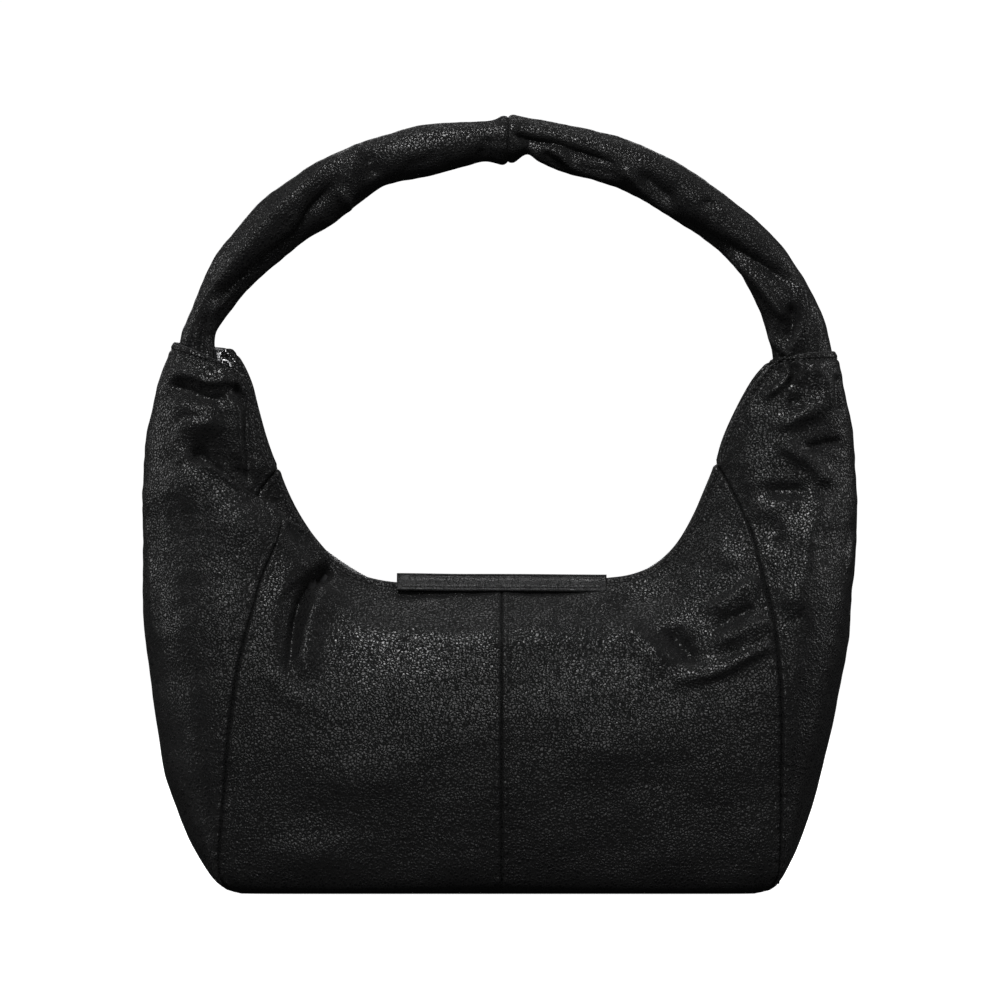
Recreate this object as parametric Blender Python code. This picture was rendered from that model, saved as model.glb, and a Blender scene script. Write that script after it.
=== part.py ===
"""Hobo bag: a soft leather body with a curved zipped mouth and one padded handle.

Metres, +Z up. X runs across the bag, -Y is the front, and the origin is the middle of the base.
The leather is laid out as one outer surface, cut into panels that meet with a seam gap.
"""

import math

import bmesh
import bpy
import numpy as np

# Leather, lining and seams
LEATHER = 0.0016
LINING = 0.0005
SEAM_GAP = 0.0008
LINING_DEPTH = 0.0040
POCKET_CLEAR = 0.0030
POCKET_BULGE = 0.016

# Base
BASE_INSET = 0.0019
BOARD_INSET = 0.0070
BOARD_BOTTOM = 0.0019
BOARD_TOP = 0.0037

# Mouth and zip: the chain is an arc about ZIP_CENTRE_Z, so the slider turns about that centre
ZIP_CENTRE_Z = 0.331
ZIP_RADIUS = 0.168
TAPE_END_DEG = 85.7
TEETH_END_DEG = 84.2
STOP_DEG = 84.9
SLIDER_REST_DEG = -82.0
TAPE_INNER_Y = 0.0024
TAPE_OUTER_Y = 0.0076
TAPE_THICK = 0.0006
TEETH_PER_SIDE = 80
TOOTH_TIP_Y = 0.0008
TOOTH_ROOT_Y = 0.0030
SPINE_Y = 0.0040
TOOTH_LOW = 0.0003
TOOTH_HIGH = 0.0013
FACING_OUTER_Y = 0.0091
FACING_INNER_Y = 0.0079
FACING_TOP_DROP = 0.0015
FACING_BELOW_CHAIN = 0.0030
LINING_BELOW_CHAIN = 0.0036

# Slider and pull, sizes along the chain, across it and away from it towards the zip centre
SLIDER_LENGTH = 0.012
SLIDER_HALF_WIDTH = 0.0050
SLIDER_WEB_HALF = 0.0005
PLATE_THICK = 0.0013
TOP_PLATE_LOW = 0.0016
BOTTOM_PLATE_HIGH = -0.0009
ARCH_HALF_WIDTH = 0.0012
ARCH_HALF_LENGTH = 0.0038
ARCH_BAR = 0.0011
ARCH_HEIGHT = 0.0071
PIVOT_HEIGHT = 0.0045
PULL_LENGTH = 0.020
PULL_HALF_WIDTH = 0.0030
PULL_HALF_THICK = 0.0007
PULL_WINDOW_END = 0.0055
PULL_BAR = 0.0008
PULL_ARM_Y = 0.0018
PULL_LIFT_DEG = 8.0

# Handle: it turns about an axis along X through both shoulders
HINGE_Z = 0.3305
HANDLE_SIDES = 12
HANDLE_STATIONS = 15
CORE_GAP = 0.0006

KNUCKLE_DEPTH = 0.0122

# Rolled collars round the open shoulders, and the tabs that tie the handle down inside them
COLLAR_X = 0.1760
COLLAR_HALF_X = 0.0178
COLLAR_HALF_Y = 0.0138
COLLAR_LOW = 0.3136
COLLAR_HIGH = 0.3174
COLLAR_HALF_THICK = 0.0017
COLLAR_SIDES = 20
ANCHOR_X = (0.1835, 0.1860)
ANCHOR_HALF_Y = 0.009
ANCHOR_Z = (0.2900, 0.3170)

# Strip on the front lip, its section as (y, z) from the lower edge up
STRIP_HALF_WIDTH = 0.0612
STRIP_THICK = 0.0020
STRIP_CLEAR = 0.0010
STRIP_LOW_Z = 0.1764
STRIP_BEND = (-0.0133, 0.1822)
STRIP_HIGH = (-0.0112, 0.1872)
STRIP_RISE = 0.0012


def mm(rows):
    """A list of points or pairs given in millimetres, as metres."""
    return np.array(rows, float) * 0.001


# Outlines of the right front quarter, in millimetres: (x, y, z) or (x, z)
CENTRE_LINE = mm(
    [
        (0, -58, 0),
        (0, -62.5, 4),
        (0, -65.5, 12),
        (0, -68, 40),
        (0, -69.5, 80),
        (0, -66.5, 115),
        (0, -58, 140),
        (0, -44, 158),
        (0, -28, 170),
        (0, -16, 178),
        (0, -11, 182),
    ]
)
SEAM_LINE = mm(
    [
        (150, -54, 0),
        (156.5, -58, 4),
        (160.5, -60, 12),
        (162, -61, 35),
        (161.5, -61, 60),
        (159.5, -60.5, 93),
        (157, -59, 120),
        (152, -54, 147),
        (147, -48.5, 168),
        (141, -41, 190),
        (135.5, -31, 212),
        (130.5, -21, 232),
        (126.5, -11, 247),
    ]
)
BASE_LINE = mm([(0, -58, 0), (60, -58, 0), (110, -58, 0), (140, -57, 0), (150, -54, 0)])
LIP_LINE = mm(
    [
        (0, -11, 182),
        (35, -11, 182.3),
        (62, -11, 183.5),
        (79, -11, 186.5),
        (92.5, -11, 193),
        (102, -11, 202),
        (110, -11, 212.5),
        (118, -11, 227),
        (126.5, -11, 247),
    ]
)
SHOULDER_LIP_LINE = mm(
    [
        (126.5, -11, 247),
        (130, -11, 257),
        (134.5, -11, 268),
        (139, -11, 280),
        (145, -11, 294),
        (151, -9.5, 303),
        (158, -5, 311),
    ]
)
SILHOUETTE = mm(
    [
        (153, 0),
        (162, 4),
        (167, 8),
        (174, 18),
        (181.5, 34),
        (190, 55),
        (194.5, 72),
        (201, 103),
        (206.6, 141),
        (209, 162),
        (210.3, 195),
        (210.5, 230),
        (208.8, 262),
        (206.5, 279),
        (201.8, 300),
        (198.5, 308),
        (195, 313),
    ]
)
# How far the side panel's widest depth stands outside its front edge, by height
SIDE_BULGE = mm(
    [
        (0, 0),
        (0, 140),
        (1.5, 168),
        (5, 190),
        (9.5, 212),
        (15, 232),
        (22, 247),
        (19, 262),
        (14.5, 280),
        (9.5, 294),
        (8.5, 303),
        (10, 311),
    ]
)
# Handle: centre line (x, z), half width in its own plane and half thickness along Y
HANDLE_LINE = mm(
    [
        (178.5, 330.5),
        (172, 345.5),
        (161, 361),
        (150, 375),
        (136, 390),
        (119, 404),
        (100, 415.5),
        (80, 426),
        (60, 433),
        (40, 438.5),
        (20, 442),
        (0, 443.5),
    ]
)
HANDLE_SECTION = mm(
    [
        (11, 12.0),
        (14.5, 12.6),
        (16, 13.2),
        (17.5, 13.8),
        (18, 14.2),
        (18, 14.5),
        (17.5, 14.5),
        (16.5, 14.3),
        (16, 14.0),
        (15.5, 13.6),
        (14.8, 13.2),
        (14, 12.8),
    ]
)

ROW_SHARES = [0, 0.02, 0.05, 0.11, 0.2, 0.3, 0.4, 0.5, 0.6, 0.68, 0.76, 0.83, 0.89, 0.94, 0.975, 1]
COLUMN_SHARES = [0, 0.14, 0.28, 0.42, 0.56, 0.7, 0.83, 0.93, 1]
SHOULDER_ROWS = 7
SIDE_COLUMNS = 13
LINING_ROWS = [0, 2, 4, 6, 8, 10, 11]
LINING_SHOULDER_ROWS = 3


# ---------------------------------------------------------------- curves


def smooth(points, steps=16):
    """A dense curve through the points (Catmull-Rom)."""
    points = np.asarray(points, float)
    ends = np.vstack([2 * points[0] - points[1], points, 2 * points[-1] - points[-2]])
    dense = []
    for i in range(len(points) - 1):
        a, b, c, d = ends[i : i + 4]
        for t in np.linspace(0, 1, steps, endpoint=False):
            square, cube = 2 * a - 5 * b + 4 * c - d, 3 * b - a - 3 * c + d
            dense.append(0.5 * (2 * b + (c - a) * t + square * t * t + cube * t**3))
    return np.array(dense + [points[-1]])


def at_shares(points, shares):
    """Points on the smooth curve at these shares of its length."""
    dense = smooth(points)
    along = np.concatenate([[0], np.cumsum(np.linalg.norm(np.diff(dense, axis=0), axis=1))])
    wanted = np.asarray(shares) * along[-1]
    return np.stack([np.interp(wanted, along, column) for column in dense.T], axis=1)


def value_at(pairs, height):
    """The first number of the (value, height) pairs, smoothly read at a height."""
    dense = smooth(pairs)
    return np.interp(height, dense[:, 1], dense[:, 0])


# ---------------------------------------------------------------- the outer surface


def front_quarter():
    """Grid of the right half of the front panel, rows from the base up to the lip."""
    centre = at_shares(CENTRE_LINE, ROW_SHARES)
    seam = at_shares(SEAM_LINE, ROW_SHARES)
    base = at_shares(BASE_LINE, COLUMN_SHARES)
    lip = at_shares(LIP_LINE, COLUMN_SHARES)
    grid = np.zeros((len(ROW_SHARES), len(COLUMN_SHARES), 3))
    for j, v in enumerate(ROW_SHARES):
        for i, u in enumerate(COLUMN_SHARES):
            across = (1 - u) * centre[j] + u * seam[j]
            up = (1 - v) * base[i] + v * lip[i]
            corners = (1 - v) * ((1 - u) * base[0] + u * base[-1]) + v * ((1 - u) * lip[0] + u * lip[-1])
            grid[j, i] = across + up - corners
    return grid


def side_right():
    """Grid of the right side panel, from its front edge round the outline to its back edge."""
    seam = at_shares(SEAM_LINE, ROW_SHARES)
    lip = at_shares(SHOULDER_LIP_LINE, np.linspace(0, 1, SHOULDER_ROWS + 1)[1:])
    edge = np.vstack([seam, lip])
    top = edge[-1, 2]
    grid = np.zeros((len(edge), SIDE_COLUMNS, 3))
    for j, (x, y, z) in enumerate(edge):
        outline_z = z + (SILHOUETTE[-1, 1] - top) * (z / top) ** 2
        outline_x = value_at(SILHOUETTE, outline_z)
        depth = -y + value_at(SIDE_BULGE, z)
        start = math.pi - math.asin(min(1, -y / depth))
        width = (outline_x - x) / (1 - math.cos(start))
        for i, angle in enumerate(np.linspace(start, -start, SIDE_COLUMNS)):
            px = outline_x - width + width * math.cos(angle)
            pz = z + (outline_z - z) * (px - x) / (outline_x - x)
            grid[j, i] = (px, -depth * math.sin(angle), pz)
    return grid


def mirrored(grid, axis):
    """The grid reflected in X (axis 0) or Y (axis 1)."""
    other = grid.copy()
    other[..., axis] *= -1
    return other


def key(point):
    return tuple(np.round(np.asarray(point) * 1e5).astype(int))


def face_normals(grid):
    """One unit normal for each cell, and its area, from the cell's diagonals."""
    cross = np.cross(grid[1:, 1:] - grid[:-1, :-1], grid[1:, :-1] - grid[:-1, 1:])
    size = np.linalg.norm(cross, axis=2, keepdims=True)
    return cross / np.maximum(size, 1e-12), size


def outward_steps(patches):
    """For each point of the patches, the step that moves its faces out by one unit."""
    found = {}
    for grid in patches:
        normals, size = face_normals(grid)
        rows, columns = size.shape[:2]
        for j in range(rows):
            for i in range(columns):
                if size[j, i, 0] < 1e-12:
                    continue
                middle = grid[j : j + 2, i : i + 2].reshape(-1, 3).mean(0)
                inside = np.array([middle[0] * 0.8, 0, min(max(middle[2], 0.05), 0.29)])
                if abs(middle[0]) > 0.12 and middle[2] > 0.19:
                    inside[0] = math.copysign(0.176, middle[0])
                normal = normals[j, i] * (1 if normals[j, i] @ (middle - inside) > 0 else -1)
                for a, b in ((j, i), (j + 1, i), (j, i + 1), (j + 1, i + 1)):
                    found.setdefault(key(grid[a, b]), []).append((normal, size[j, i, 0]))
    steps = {}
    for place, parts in found.items():
        total = sum(normal * area for normal, area in parts)
        total /= np.linalg.norm(total)
        weight = sum(area for _, area in parts)
        lean = sum((normal @ total) * area for normal, area in parts) / weight
        steps[place] = total / max(lean, 0.6)
    return steps


def grid_steps(grid, steps):
    return np.array([[steps[key(point)] for point in row] for row in grid])


# ---------------------------------------------------------------- meshes


def material(name, colour, roughness, metallic=0.0):
    made = bpy.data.materials.get(name)
    if made is None:
        made = bpy.data.materials.new(name)
        made.use_nodes = True
        shader = made.node_tree.nodes["Principled BSDF"]
        shader.inputs["Base Color"].default_value = (*colour, 1)
        shader.inputs["Roughness"].default_value = roughness
        shader.inputs["Metallic"].default_value = metallic
        made.diffuse_color = (*colour, 1)
    return made


LEATHER_LOOK = ("black_leather", (0.012, 0.012, 0.013), 0.45)
EDGE_LOOK = ("leather_edge", (0.02, 0.02, 0.021), 0.5)
LINING_LOOK = ("lining_cloth", (0.06, 0.055, 0.05), 0.85)
BOARD_LOOK = ("grey_board", (0.25, 0.23, 0.2), 0.9)
TAPE_LOOK = ("zip_tape", (0.01, 0.01, 0.011), 0.8)
METAL_LOOK = ("nickel", (0.75, 0.75, 0.76), 0.25, 1.0)
CORE_LOOK = ("handle_core", (0.5, 0.47, 0.42), 0.9)


def solid(name, vertices, faces, look, origin=(0, 0, 0)):
    """One closed object, its faces turned out, with its origin at a given point."""
    mesh = bpy.data.meshes.new(name)
    shifted = np.asarray(vertices, float) - np.asarray(origin, float)
    mesh.from_pydata([tuple(v) for v in shifted], [], [tuple(f) for f in faces])
    sheet = bmesh.new()
    sheet.from_mesh(mesh)
    bmesh.ops.remove_doubles(sheet, verts=sheet.verts, dist=1e-7)
    bmesh.ops.recalc_face_normals(sheet, faces=sheet.faces)
    if sheet.calc_volume(signed=True) < 0:
        bmesh.ops.reverse_faces(sheet, faces=sheet.faces)
    sheet.to_mesh(mesh)
    sheet.free()
    mesh.shade_smooth()
    mesh.set_sharp_from_angle(angle=math.radians(35))
    mesh.materials.append(material(*look))
    made = bpy.data.objects.new(name, mesh)
    made.location = origin
    bpy.context.scene.collection.objects.link(made)
    return made


def pulled_in(grid, sides):
    """The grid with its named boundary rows or columns drawn back by half a seam gap."""
    grid = grid.copy()
    lines = {
        "bottom": (grid[0], grid[1]),
        "top": (grid[-1], grid[-2]),
        "left": (grid[:, 0], grid[:, 1]),
        "right": (grid[:, -1], grid[:, -2]),
    }
    for side in sides:
        edge, inner = lines[side]
        way = inner - edge
        edge += way / np.linalg.norm(way, axis=-1, keepdims=True) * SEAM_GAP / 2
    return grid


def sheet_solid(name, patches, step_patches, depths, look):
    """A sheet of even thickness under the patches, from the first depth to the second."""
    points, moves, index, triangles = [], [], {}, []
    for grid, step_grid in zip(patches, step_patches):
        rows, columns = grid.shape[:2]
        numbers = np.zeros((rows, columns), int)
        for j in range(rows):
            for i in range(columns):
                place = key(grid[j, i])
                if place not in index:
                    index[place] = len(points)
                    points.append(grid[j, i])
                    moves.append(step_grid[j, i])
                numbers[j, i] = index[place]
        for j in range(rows - 1):
            for i in range(columns - 1):
                corners = [numbers[j, i], numbers[j, i + 1], numbers[j + 1, i + 1], numbers[j + 1, i]]
                loop = [c for k, c in enumerate(corners) if c != corners[k - 1]]
                if len(loop) == 4:
                    triangles += [loop[:3], loop[2:] + loop[:1]]
                elif len(loop) == 3:
                    triangles.append(loop)
    points, moves = np.array(points), np.array(moves)
    count = len(points)
    vertices = np.vstack([points - moves * depths[0], points - moves * depths[1]])
    faces = list(triangles) + [[c + count for c in reversed(loop)] for loop in triangles]
    uses = {}
    for loop in triangles:
        for k, c in enumerate(loop):
            uses.setdefault(frozenset((loop[k - 1], c)), []).append((loop[k - 1], c))
    for ends in uses.values():
        if len(ends) == 1:
            a, b = ends[0]
            faces.append([b, a, a + count, b + count])
    return solid(name, vertices, faces, look)


def plate(name, outline, low, high, look):
    """A flat plate with this (x, y) outline."""
    count = len(outline)
    vertices = [(x, y, low) for x, y in outline] + [(x, y, high) for x, y in outline]
    faces = [list(range(count)), list(range(2 * count - 1, count - 1, -1))]
    faces += [[k, (k + 1) % count, (k + 1) % count + count, k + count] for k in range(count)]
    return solid(name, vertices, faces, look)


def block_faces(first):
    """Faces of a block whose eight vertices are numbered from first: four low, then four high."""
    loops = [(0, 1, 2, 3), (7, 6, 5, 4), (0, 4, 5, 1), (1, 5, 6, 2), (2, 6, 7, 3), (3, 7, 4, 0)]
    return [[first + k for k in loop] for loop in loops]


# ---------------------------------------------------------------- leather panels, base, lining


def leather_panels(front, side, steps):
    """Four centre panels and two side panels."""
    for x_name, flip_x in (("right", False), ("left", True)):
        for y_name, flip_y in (("front", False), ("back", True)):
            grid = pulled_in(front, ("left", "right"))
            moves = grid_steps(front, steps)
            for axis, flip in enumerate((flip_x, flip_y)):
                if flip:
                    grid, moves = mirrored(grid, axis), mirrored(moves, axis)
            sheet_solid(f"{y_name}_panel_{x_name}", [grid], [moves], (0, LEATHER), LEATHER_LOOK)
        grid = side.copy()
        seam_rows = len(ROW_SHARES)
        for column, inner in ((0, 1), (-1, -2)):
            way = grid[:seam_rows, inner] - grid[:seam_rows, column]
            grid[:seam_rows, column] += way / np.linalg.norm(way, axis=1, keepdims=True) * SEAM_GAP / 2
        moves = grid_steps(side, steps)
        if flip_x:
            grid, moves = mirrored(grid, 0), mirrored(moves, 0)
        sheet_solid(f"side_panel_{x_name}", [grid], [moves], (0, LEATHER), LEATHER_LOOK)


def base_outline(front, side, inset):
    """The base's outline, drawn in by an inset."""
    quarter = list(front[0, :, :2]) + list(side[0, 1 : SIDE_COLUMNS // 2 + 1, :2])
    right = quarter + [(x, -y) for x, y in quarter[-2:0:-1]]
    loop = right + [(-x, -y) for x, y in right]
    size = np.abs(np.array(loop)).max(0)
    outline = []
    for point in np.array(loop) * (1 - inset / size):
        if not outline or np.linalg.norm(point - outline[-1]) > 1e-4:
            outline.append(point)
    return outline


def base(front, side):
    plate("base_panel", base_outline(front, side, BASE_INSET), 0, LEATHER, LEATHER_LOOK)
    plate("base_board", base_outline(front, side, BOARD_INSET), BOARD_BOTTOM, BOARD_TOP, BOARD_LOOK)


def below_chain(point, extra, y):
    """The point moved straight away from the zip's centre until it is that far past the chain."""
    way = np.array([point[0], point[2] - ZIP_CENTRE_Z])
    way *= (ZIP_RADIUS + extra) / np.linalg.norm(way)
    return np.array([way[0], y, ZIP_CENTRE_Z + way[1]])


def lining(front, side):
    """Front and back halves of the lining, which meet along the sides and the middle of the floor."""
    last_shoulder = len(ROW_SHARES) - 1 + LINING_SHOULDER_ROWS
    side_rows = LINING_ROWS + list(range(len(ROW_SHARES) - 1, last_shoulder + 1, 2))
    half_columns = list(range(0, SIDE_COLUMNS // 2 + 1, 2))
    quarter = front[np.ix_(LINING_ROWS + [len(ROW_SHARES) - 1], range(0, len(COLUMN_SHARES), 2))]
    edge = side[np.ix_(side_rows, half_columns)]
    for rim in (quarter[-1], edge[len(LINING_ROWS) :, 0]):
        for k, point in enumerate(rim):
            rim[k] = below_chain(point, LINING_BELOW_CHAIN - LINING_DEPTH, -FACING_OUTER_Y)
    right = [quarter, edge]
    left = [mirrored(grid, 0) for grid in right]
    bottom = np.vstack([quarter[0], edge[0, 1:]])
    floor = np.stack([bottom * (1, share, 1) for share in (1, 0.5, 0)])
    patches = right + left + [floor, mirrored(floor, 0)]
    steps = outward_steps(patches)
    step_patches = []
    for grid in patches:
        moves = grid_steps(grid, steps)
        on_middle = np.abs(grid[..., 1]) < 1e-6
        moves[on_middle, 1] = 0
        moves[on_middle] /= np.linalg.norm(moves[on_middle], axis=1, keepdims=True)
        on_rim = (np.abs(grid[..., 1] + FACING_OUTER_Y) < 1e-6) & (grid[..., 2] > 0.1)
        moves[on_rim] = np.array([0, 0, ZIP_CENTRE_Z]) - grid[on_rim] * (1, 0, 1)
        moves[on_rim] /= np.linalg.norm(moves[on_rim], axis=1, keepdims=True)
        grid[on_middle, 1] = -SEAM_GAP / 2
        step_patches.append(moves)
    depths = (LINING_DEPTH, LINING_DEPTH + LINING)
    sheet_solid("lining_front", patches, step_patches, depths, LINING_LOOK)
    back = [mirrored(grid, 1) for grid in patches]
    back_steps = [mirrored(grid, 1) for grid in step_patches]
    sheet_solid("lining_back", back, back_steps, depths, LINING_LOOK)


def slip_pocket(front, steps):
    """A patch pocket on the back lining, open along its top."""
    rows, columns = slice(5, 10), slice(0, 6)
    part = front[rows, columns]
    moves = grid_steps(front, steps)[rows, columns]
    whole = np.concatenate([mirrored(part, 0)[:, :0:-1], part], axis=1)
    whole_moves = np.concatenate([mirrored(moves, 0)[:, :0:-1], moves], axis=1)
    wide = np.linspace(-1, 1, whole.shape[1])
    high = np.linspace(0, 1, whole.shape[0])
    bulge = POCKET_BULGE * np.outer(np.sin(high * math.pi / 2), np.cos(wide * math.pi / 2))
    whole = whole - whole_moves * bulge[..., None]
    depth = LINING_DEPTH + LINING + POCKET_CLEAR
    sheet_solid(
        "slip_pocket",
        [mirrored(whole, 1)],
        [mirrored(whole_moves, 1)],
        (depth, depth + LINING),
        LINING_LOOK,
    )


# ---------------------------------------------------------------- mouth: facings, strip, zip


def facings():
    """Leather facings that hang from the lips down to the zip tape."""
    low_lip = at_shares(LIP_LINE, np.linspace(0, 1, 13))
    high_lip = at_shares(SHOULDER_LIP_LINE[:-2], np.linspace(0, 1, 6))[1:]
    lip = np.vstack([low_lip, high_lip])
    lip = np.vstack([mirrored(lip[:0:-1], 0), lip])
    rows = []
    for share in (0, 0.5, 1):
        row = []
        for x, _, z in lip:
            distance = math.hypot(x, z - ZIP_CENTRE_Z)
            top = distance + FACING_TOP_DROP
            radius = top + share * (ZIP_RADIUS + FACING_BELOW_CHAIN - top)
            scale = radius / distance
            row.append((x * scale, -FACING_OUTER_Y, ZIP_CENTRE_Z + (z - ZIP_CENTRE_Z) * scale))
        rows.append(row)
    grid = np.array(rows)
    forward = np.zeros_like(grid)
    forward[..., 1] = -1
    depths = (0, FACING_OUTER_Y - FACING_INNER_Y)
    sheet_solid("mouth_facing_front", [grid], [forward], depths, LEATHER_LOOK)
    sheet_solid("mouth_facing_back", [mirrored(grid, 1)], [mirrored(forward, 1)], depths, LEATHER_LOOK)


def front_strip():
    """A folded strip of leather lying over the middle of the front lip."""
    line = smooth(CENTRE_LINE)
    low_y = np.interp(STRIP_LOW_Z, line[:, 2], line[:, 1]) - STRIP_CLEAR
    outline = [(low_y, STRIP_LOW_Z), STRIP_BEND, STRIP_HIGH]
    for (y, z), thickness in zip(reversed(outline), (1, 1.6, 1)):
        outline.append((y - thickness * STRIP_THICK, z))
    count = len(outline)
    vertices = []
    for share in np.linspace(-1, 1, 9):
        for y, z in outline:
            vertices.append((share * STRIP_HALF_WIDTH, y, z + STRIP_RISE * share * share))
    faces = [list(range(count)), [len(vertices) - 1 - k for k in range(count)]]
    for j in range(8):
        for k in range(count):
            a, b = j * count + k, j * count + (k + 1) % count
            faces.append([a, b, b + count, a + count])
    return solid("front_strip", vertices, faces, LEATHER_LOOK)


def on_arc(degrees, radius, y):
    """A point at this angle from straight down, towards +X, about the zip's centre."""
    angle = math.radians(degrees)
    return (radius * math.sin(angle), y, ZIP_CENTRE_Z - radius * math.cos(angle))


def zip_tapes():
    angles = np.linspace(-TAPE_END_DEG, TAPE_END_DEG, 41)
    for name, side in (("front", -1), ("back", 1)):
        vertices, faces = [], []
        for degrees in angles:
            for radius in (ZIP_RADIUS, ZIP_RADIUS + TAPE_THICK):
                for y in (TAPE_INNER_Y, TAPE_OUTER_Y):
                    vertices.append(on_arc(degrees, radius, side * y))
        ring = (0, 1, 3, 2)
        for j in range(len(angles) - 1):
            for k in range(4):
                a, b = 4 * j + ring[k], 4 * j + ring[(k + 1) % 4]
                faces.append([a, b, b + 4, a + 4])
        last = 4 * (len(angles) - 1)
        faces += [list(ring), [last + k for k in reversed(ring)]]
        solid(f"zip_tape_{name}", vertices, faces, TAPE_LOOK)


def zip_teeth():
    """A comb of teeth for each side, on a spine along the tape's edge."""
    pitch = 2 * TEETH_END_DEG / (TEETH_PER_SIDE + 0.5)
    low, high = ZIP_RADIUS - TOOTH_LOW, ZIP_RADIUS - TOOTH_HIGH
    for name, side, start in (("front", -1, 0.0), ("back", 1, 0.5)):
        vertices, faces = [], []
        for tooth in range(TEETH_PER_SIDE + 1):
            first = -TEETH_END_DEG + (tooth + start) * pitch
            for share, y in ((0, SPINE_Y), (0, TOOTH_ROOT_Y), (0.22, TOOTH_TIP_Y), (0.78, TOOTH_TIP_Y)):
                if tooth == TEETH_PER_SIDE and share:
                    continue
                for radius in (low, high):
                    vertices.append(on_arc(first + share * pitch, radius, side * y))
        for tooth in range(TEETH_PER_SIDE):
            a = 8 * tooth
            spine, root, tip, tip_end, next_spine, next_root = a, a + 2, a + 4, a + 6, a + 8, a + 10
            faces.append([spine, root, next_root, next_spine])
            faces.append([spine + 1, next_spine + 1, next_root + 1, root + 1])
            faces.append([root, tip, tip_end, next_root])
            faces.append([root + 1, next_root + 1, tip_end + 1, tip + 1])
            faces.append([spine, next_spine, next_spine + 1, spine + 1])
            for b, c in ((root, tip), (tip, tip_end), (tip_end, next_root)):
                faces.append([b, b + 1, c + 1, c])
        last = 8 * TEETH_PER_SIDE
        faces += [[0, 1, 3, 2], [last, last + 2, last + 3, last + 1]]
        solid(f"zip_teeth_{name}", vertices, faces, METAL_LOOK)


def zip_stops():
    for name, side in (("left", -1), ("right", 1)):
        vertices = []
        for radius in (ZIP_RADIUS + 0.0012, ZIP_RADIUS - 0.0018):
            for y, shift in ((-0.0019, -0.45), (0.0019, -0.45), (0.0019, 0.45), (-0.0019, 0.45)):
                vertices.append(on_arc(side * STOP_DEG + shift, radius, y))
        solid(f"zip_stop_{name}", vertices, block_faces(0), METAL_LOOK)


def along_chain(along, y, height, place_deg=SLIDER_REST_DEG):
    """A point by distance along the chain, across it, and towards the zip's centre."""
    angle = math.radians(place_deg)
    tangent = np.array([math.cos(angle), 0, math.sin(angle)])
    inward = np.array([-math.sin(angle), 0, math.cos(angle)])
    start = np.array([ZIP_RADIUS * math.sin(angle), 0, ZIP_CENTRE_Z - ZIP_RADIUS * math.cos(angle)])
    return start + tangent * along + inward * height + np.array([0, y, 0])


def prism(outline, low, high, place):
    """Vertices and faces of an outline swept between two distances by a placing function."""
    count = len(outline)
    vertices = [place(p, q, low) for p, q in outline] + [place(p, q, high) for p, q in outline]
    faces = [list(range(count)), list(range(2 * count - 1, count - 1, -1))]
    faces += [[k, (k + 1) % count, (k + 1) % count + count, k + count] for k in range(count)]
    return vertices, faces


def zip_slider(slider_pivot):
    """Two plates joined by a thin web, with an arch on top that carries the pull."""
    half, web = SLIDER_HALF_WIDTH, SLIDER_WEB_HALF
    top_low, top_high = TOP_PLATE_LOW, TOP_PLATE_LOW + PLATE_THICK
    low_high, low_low = BOTTOM_PLATE_HIGH, BOTTOM_PLATE_HIGH - PLATE_THICK
    section = [
        (-half, low_low),
        (half, low_low),
        (half, low_high),
        (web, low_high),
        (web, top_low),
        (half, top_low),
        (half, top_high),
        (-half, top_high),
        (-half, top_low),
        (-web, top_low),
        (-web, low_high),
        (-half, low_high),
    ]
    reach = SLIDER_LENGTH / 2
    vertices, faces = prism(section, -reach, reach, lambda y, h, a: along_chain(a, y, h))
    body = solid("zip_slider", vertices, faces, METAL_LOOK, slider_pivot)
    outer, inner = ARCH_HALF_LENGTH, ARCH_HALF_LENGTH - ARCH_BAR
    foot, under = top_high - 0.0004, ARCH_HEIGHT - ARCH_BAR
    arch = [
        (-outer, foot),
        (-inner, foot),
        (-inner, under),
        (inner, under),
        (inner, foot),
        (outer, foot),
        (outer, ARCH_HEIGHT - 0.0006),
        (outer - 0.0006, ARCH_HEIGHT),
        (-outer + 0.0006, ARCH_HEIGHT),
        (-outer, ARCH_HEIGHT - 0.0006),
    ]
    vertices, faces = prism(arch, -ARCH_HALF_WIDTH, ARCH_HALF_WIDTH, lambda a, h, y: along_chain(a, y, h))
    loop = solid("zip_slider_arch_helper", vertices, faces, METAL_LOOK)
    loop.hide_render = True
    loop.display_type = "WIRE"
    joined = body.modifiers.new("arch", "BOOLEAN")
    joined.operation = "UNION"
    joined.object = loop
    return body


def zip_pull():
    """A tab with a window near its end; the bar beyond the window is its hinge under the arch."""
    half, arm, bar = PULL_HALF_WIDTH, PULL_ARM_Y, PULL_BAR
    outer = [(-bar, -half + 0.0004), (PULL_LENGTH - 0.0015, -half), (PULL_LENGTH, -half + 0.0015)]
    outer += [(a, -y) for a, y in reversed(outer)]
    window = [(bar, -arm), (PULL_WINDOW_END, -arm), (PULL_WINDOW_END, arm), (bar, arm)]
    lift = math.radians(PULL_LIFT_DEG)
    vertices = []
    for h in (-PULL_HALF_THICK, PULL_HALF_THICK):
        for a, y in outer + window:
            along = a * math.cos(lift) - h * math.sin(lift)
            height = PIVOT_HEIGHT + a * math.sin(lift) + h * math.cos(lift)
            vertices.append(along_chain(along, y, height))
    count, rim = len(outer) + len(window), len(outer)
    walls = [(0, 1, 7, 6), (7, 1, 2), (7, 2, 3, 8), (8, 3, 4), (8, 4, 5, 9), (9, 5, 0, 6)]
    faces = [list(w) for w in walls] + [[k + count for k in reversed(w)] for w in walls]
    faces += [[k, k + count, (k + 1) % rim + count, (k + 1) % rim] for k in range(rim)]
    for k in range(4):
        a, b = rim + k, rim + (k + 1) % 4
        faces.append([a, b, b + count, a + count])
    return solid("zip_pull", vertices, faces, METAL_LOOK, along_chain(0, 0, PIVOT_HEIGHT))


# ---------------------------------------------------------------- collars and handle


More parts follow.
